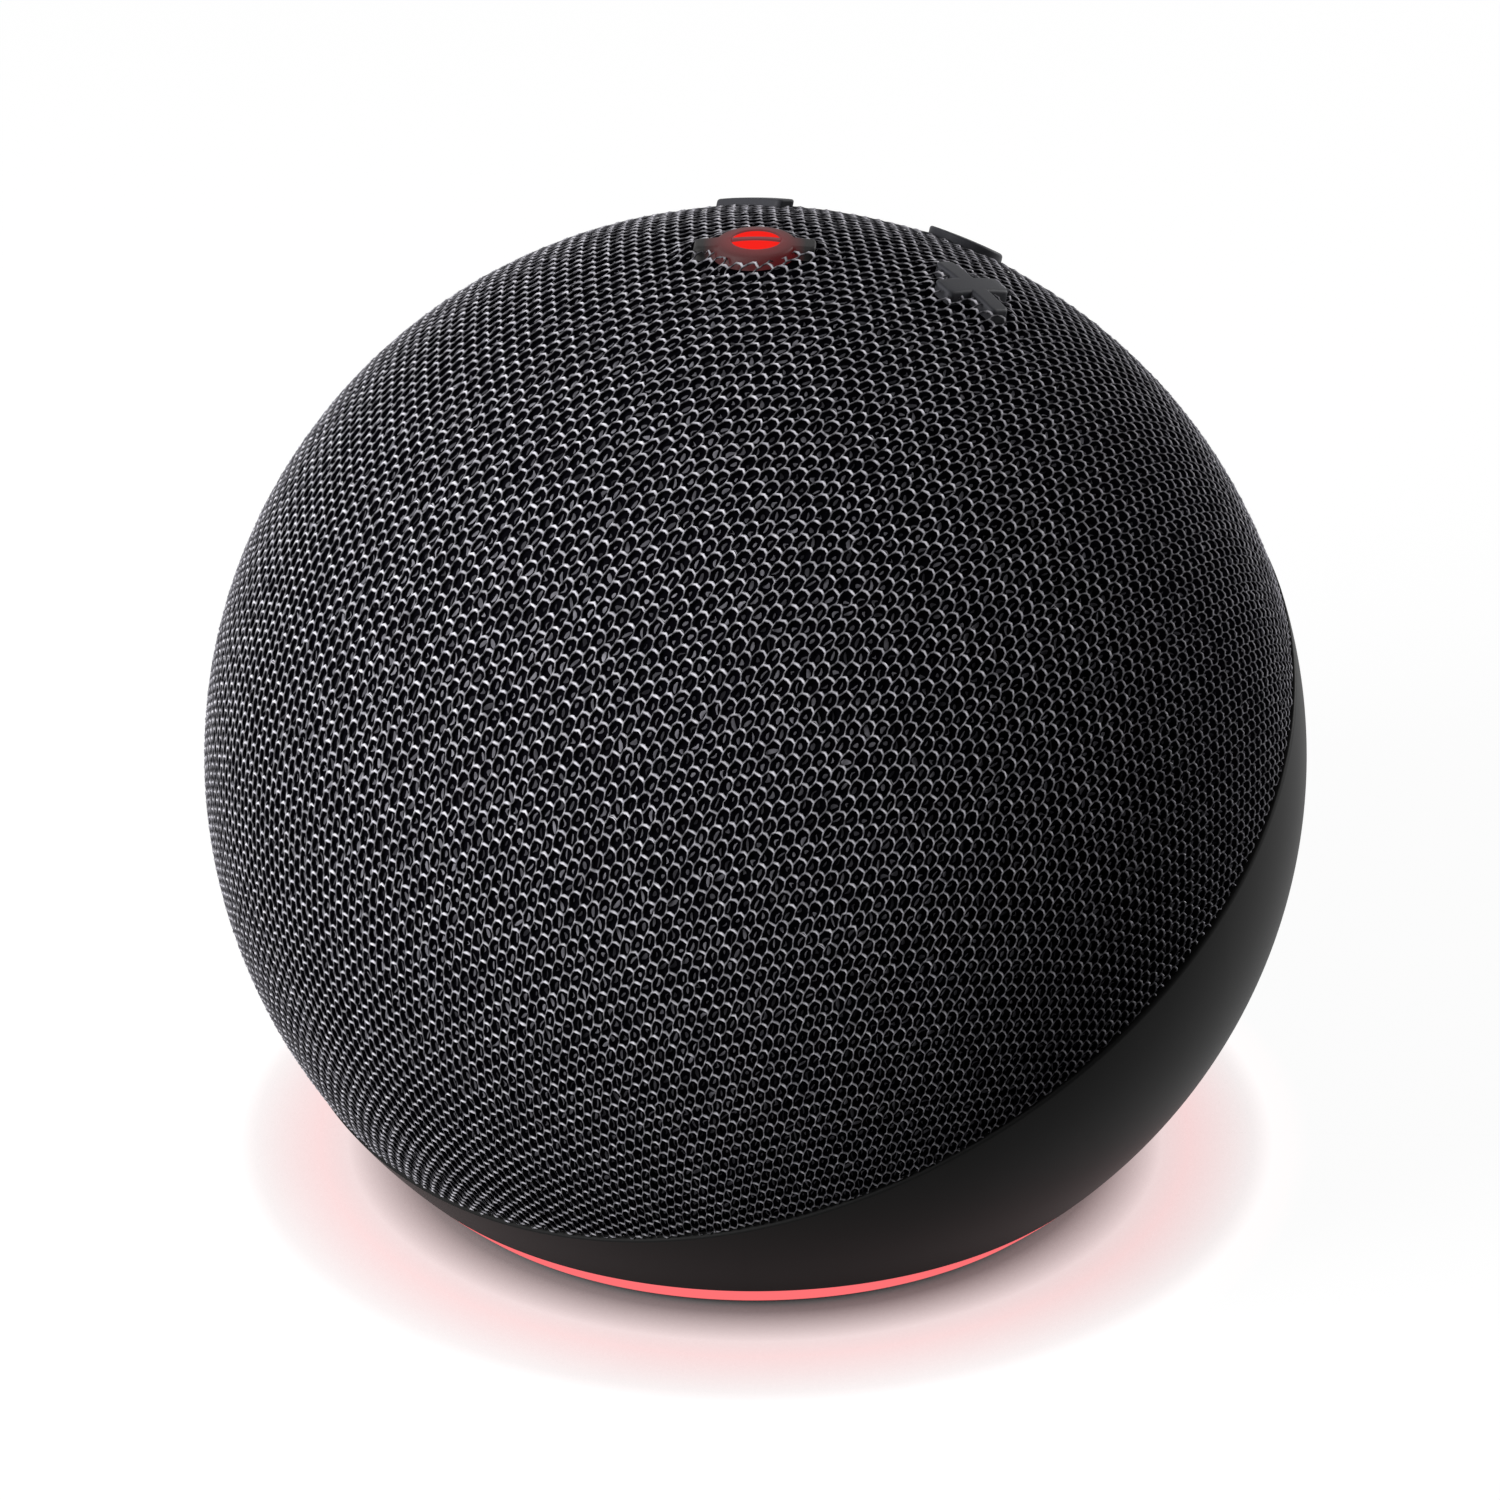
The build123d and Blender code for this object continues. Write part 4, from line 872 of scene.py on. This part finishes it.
def build_key(name):
    """A key's cap with a rounded edge, its top following the ball."""
    angles = np.linspace(0, 2 * pi, KEY_POINTS, endpoint=False)
    loops = rounded_rim(name, angles)
    inner = key_outline(name, angles, -KEY_EDGE)
    for share in TOP_SHARES:
        loops.append(cap_points(name, inner * share, 0.0))
    faces = ring_faces(len(loops), KEY_POINTS)
    loops.append(cap_points(name, np.zeros((1, 2)), 0.0))
    middle = KEY_POINTS * (len(loops) - 1)
    last = middle - KEY_POINTS
    faces += [(last + j, last + (j + 1) % KEY_POINTS, middle) for j in range(KEY_POINTS)]
    piece = mesh_piece(f"{name}_cap", np.concatenate(loops), faces)
    piece.data.materials.append(key_plastic)
    return piece


def build_mute_key():
    """The mute key's cap: a ring with two ears round a window that a divider crosses."""
    name = "mic_mute"
    angles = np.linspace(0, 2 * pi, KEY_POINTS, endpoint=False)
    loops = rounded_rim(name, angles)
    circle = np.stack([np.cos(angles), np.sin(angles)], axis=1)
    inner = key_outline(name, angles, -KEY_EDGE)
    window = circle * MUTE_WINDOW
    for share in TOP_SHARES:
        loops.append(cap_points(name, window + (inner - window) * share, 0.0))
    loops.append(cap_points(name, window + circle * KEY_EDGE / 2, 0.0))
    loops.append(cap_points(name, window, KEY_EDGE / 2))
    loops.append(cap_points(name, window, WINDOW_DEPTH))
    points = np.concatenate(loops)
    faces = ring_faces(len(loops), KEY_POINTS)
    divider, divider_faces = divider_bar(name, len(points))
    piece = mesh_piece("mic_mute_cap", np.concatenate([points, divider]), faces + divider_faces)
    piece.data.materials.append(mute_plastic)
    return piece


def divider_bar(name, first):
    """The bar that crosses the mute key's window: points and faces, counted from a first index."""
    side = MUTE_DIVIDER / 2
    section = [(-side, WINDOW_DEPTH), (-side, DIVIDER_SINK), (side, DIVIDER_SINK), (side, WINDOW_DEPTH)]
    steps = np.linspace(-MUTE_WINDOW, MUTE_WINDOW, DIVIDER_POINTS)
    rows = []
    for across, drop in section:
        x = steps * cos(MUTE_SLASH_TURN) - across * sin(MUTE_SLASH_TURN)
        y = steps * sin(MUTE_SLASH_TURN) + across * cos(MUTE_SLASH_TURN)
        rows.append(cap_points(name, np.stack([x, y], axis=1), drop))
    count = len(steps)
    faces = []
    for i in range(len(section) - 1):
        for j in range(count - 1):
            low = first + i * count + j
            faces.append((low, low + 1, low + count + 1, low + count))
    return np.concatenate(rows), faces


def build_mute_lens():
    """The red window of the mute key, a little below its top."""
    name = "mic_mute"
    angles = np.linspace(0, 2 * pi, KEY_POINTS, endpoint=False)
    circle = np.stack([np.cos(angles), np.sin(angles)], axis=1)
    loops = [cap_points(name, circle * MUTE_WINDOW, WINDOW_DEPTH)]
    for share in (1.0,) + TOP_SHARES:
        sink = LENS_SINK * (LENS_MIDDLE + (1 - LENS_MIDDLE) * share**2)
        loops.append(cap_points(name, circle * MUTE_WINDOW * share, sink))
    faces = ring_faces(len(loops), KEY_POINTS)
    loops.append(cap_points(name, np.zeros((1, 2)), LENS_MIDDLE * LENS_SINK))
    middle = KEY_POINTS * (len(loops) - 1)
    last = middle - KEY_POINTS
    faces += [(last + j, last + (j + 1) % KEY_POINTS, middle) for j in range(KEY_POINTS)]
    piece = mesh_piece("mic_mute_window", np.concatenate(loops), faces)
    piece.data.materials.append(lens_red)
    return piece


def seen(tree):
    """Whether a ray comes from the camera, or from something that mirrors or lets through."""
    path = tree.nodes.new("ShaderNodeLightPath")
    sight = path.outputs["Is Camera Ray"]
    for kind in ("Is Glossy Ray", "Is Transmission Ray"):
        either = tree.nodes.new("ShaderNodeMath")
        either.operation = "MAXIMUM"
        tree.links.new(sight, either.inputs[0])
        tree.links.new(path.outputs[kind], either.inputs[1])
        sight = either.outputs[0]
    return sight


def floor_light(paint):
    """What the floor shows: white where it is open, painted shade close to the foot, and the ring's
    light painted on in between."""
    shade = node(paint, "ShaderNodeAmbientOcclusion", samples=SHADE_SAMPLES, Distance=SHADE_REACH)
    deeper = node(paint, "ShaderNodeMath", operation="POWER")
    deeper.inputs[1].default_value = SHADE_POWER
    link(paint, shade, "AO", deeper, 0)
    place = node(paint, "ShaderNodeTexCoord")
    reach = node(paint, "ShaderNodeVectorMath", operation="LENGTH")
    link(paint, place, "Object", reach, 0)
    nearest = RING_LIGHT[0][0]
    farthest = RING_LIGHT[-1][0]
    span = node(paint, "ShaderNodeMapRange")
    span.inputs["From Min"].default_value = nearest
    span.inputs["From Max"].default_value = farthest
    link(paint, reach, "Value", span, "Value")
    ramp = node(paint, "ShaderNodeValToRGB")
    for _ in RING_LIGHT[2:]:
        ramp.color_ramp.elements.new(1.0)
    for stop, (distance, colour) in zip(ramp.color_ramp.elements, RING_LIGHT):
        stop.position = (distance - nearest) / (farthest - nearest)
        stop.color = (*colour, 1.0)
    link(paint, span, "Result", ramp, "Fac")
    both = node(paint, "ShaderNodeVectorMath", operation="ADD")
    link(paint, deeper, 0, both, 0)
    link(paint, ramp, "Color", both, 1)
    return both


def build_floor():
    """A wide plain floor that shows its light only to the camera, mirrors and glass."""
    half = FLOOR_SIZE / 2
    corners = [(-half, -half, 0), (half, -half, 0), (half, half, 0), (-half, half, 0)]
    piece = mesh_piece("floor", corners, [(0, 1, 2, 3)])
    paint = new_material("floor_paint", (FLOOR_GREY,) * 3, FLOOR_ROUGHNESS, Specular_IOR_Level=0.0)
    shader = paint.node_tree.nodes["Principled BSDF"]
    link(paint, floor_light(paint), 0, shader, "Emission Color")
    shine = node(paint, "ShaderNodeMath", operation="MULTIPLY")
    shine.inputs[1].default_value = FLOOR_SHINE
    paint.node_tree.links.new(seen(paint.node_tree), shine.inputs[0])
    link(paint, shine, 0, shader, "Emission Strength")
    piece.data.materials.append(paint)
    return piece


def place_camera():
    """The photo's camera, which sees the ball's outline as the same circle."""
    data = bpy.data.cameras.new("camera")
    camera = bpy.data.objects.new("camera", data)
    bpy.context.scene.collection.objects.link(camera)
    bpy.context.scene.camera = camera
    camera.location = Vector(ball_centre) + view_back * CAMERA_DISTANCE
    camera.rotation_mode = "QUATERNION"
    camera.rotation_quaternion = (-view_back).to_track_quat("-Z", "Y")
    focal_pixels = OUTLINE_RADIUS * sqrt(CAMERA_RADII**2 - 1)
    data.sensor_width = SENSOR
    data.lens = focal_pixels / PHOTO_SIZE * SENSOR
    data.shift_x = (PHOTO_SIZE / 2 - OUTLINE_CENTRE[0]) / PHOTO_SIZE
    data.shift_y = (OUTLINE_CENTRE[1] - PHOTO_SIZE / 2) / PHOTO_SIZE
    data.clip_start = CLIP_NEAR
    data.clip_end = CLIP_FAR


def soft_box(name, place, size, level):
    """A square soft box at a place given as right, ahead and up of the ball, from the camera.
    Its level is how bright a white surface that faces it would be."""
    aim = view_right * place[0] + view_ahead * place[1] + up * place[2]
    data = bpy.data.lights.new(name, "AREA")
    data.size = size
    data.energy = level * pi**2 * aim.length_squared
    lamp = bpy.data.objects.new(name, data)
    bpy.context.scene.collection.objects.link(lamp)
    lamp.visible_camera = False
    lamp.location = Vector(ball_centre) + aim
    lamp.rotation_mode = "QUATERNION"
    lamp.rotation_quaternion = (-aim).to_track_quat("-Z", "Y")


def light_world():
    """A dim white surround that shows as plain white."""
    world = bpy.data.worlds.new("surround")
    bpy.context.scene.world = world
    world.use_nodes = True
    background = world.node_tree.nodes["Background"]
    background.inputs["Color"].default_value = (1.0, 1.0, 1.0, 1.0)
    span = world.node_tree.nodes.new("ShaderNodeMapRange")
    span.inputs["To Min"].default_value = SURROUND_LEVEL
    world.node_tree.links.new(seen(world.node_tree), span.inputs["Value"])
    world.node_tree.links.new(span.outputs["Result"], background.inputs["Strength"])


# The dressed part
dress_cad_nodes()

for panel in build_knit():
    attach(panel, "housing")
    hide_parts("fabric_cover")
backing = build_backing()
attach(backing, "housing")
lower_yarns = build_inner_yarns()
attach(lower_yarns, "housing")

shell_skin = build_shell_skin()
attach(shell_skin, "housing")
ring_face = build_ring_face()
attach(ring_face, "housing")

for key_name in ("volume_up", "volume_down", "action"):
    cap = build_key(key_name)
    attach(cap, key_name)
    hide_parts(f"{key_name}_key")
mute_cap = build_mute_key()
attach(mute_cap, "mic_mute")
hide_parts("mic_mute_key")
mute_window = build_mute_lens()
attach(mute_window, "mic_mute")
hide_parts("mic_mute_lens")

# The stage
floor = build_floor()
place_camera()
soft_box("key_light", *KEY_LIGHT)
soft_box("rim_light", *RIM_LIGHT)
light_world()
bpy.context.scene.view_settings.view_transform = "Standard"
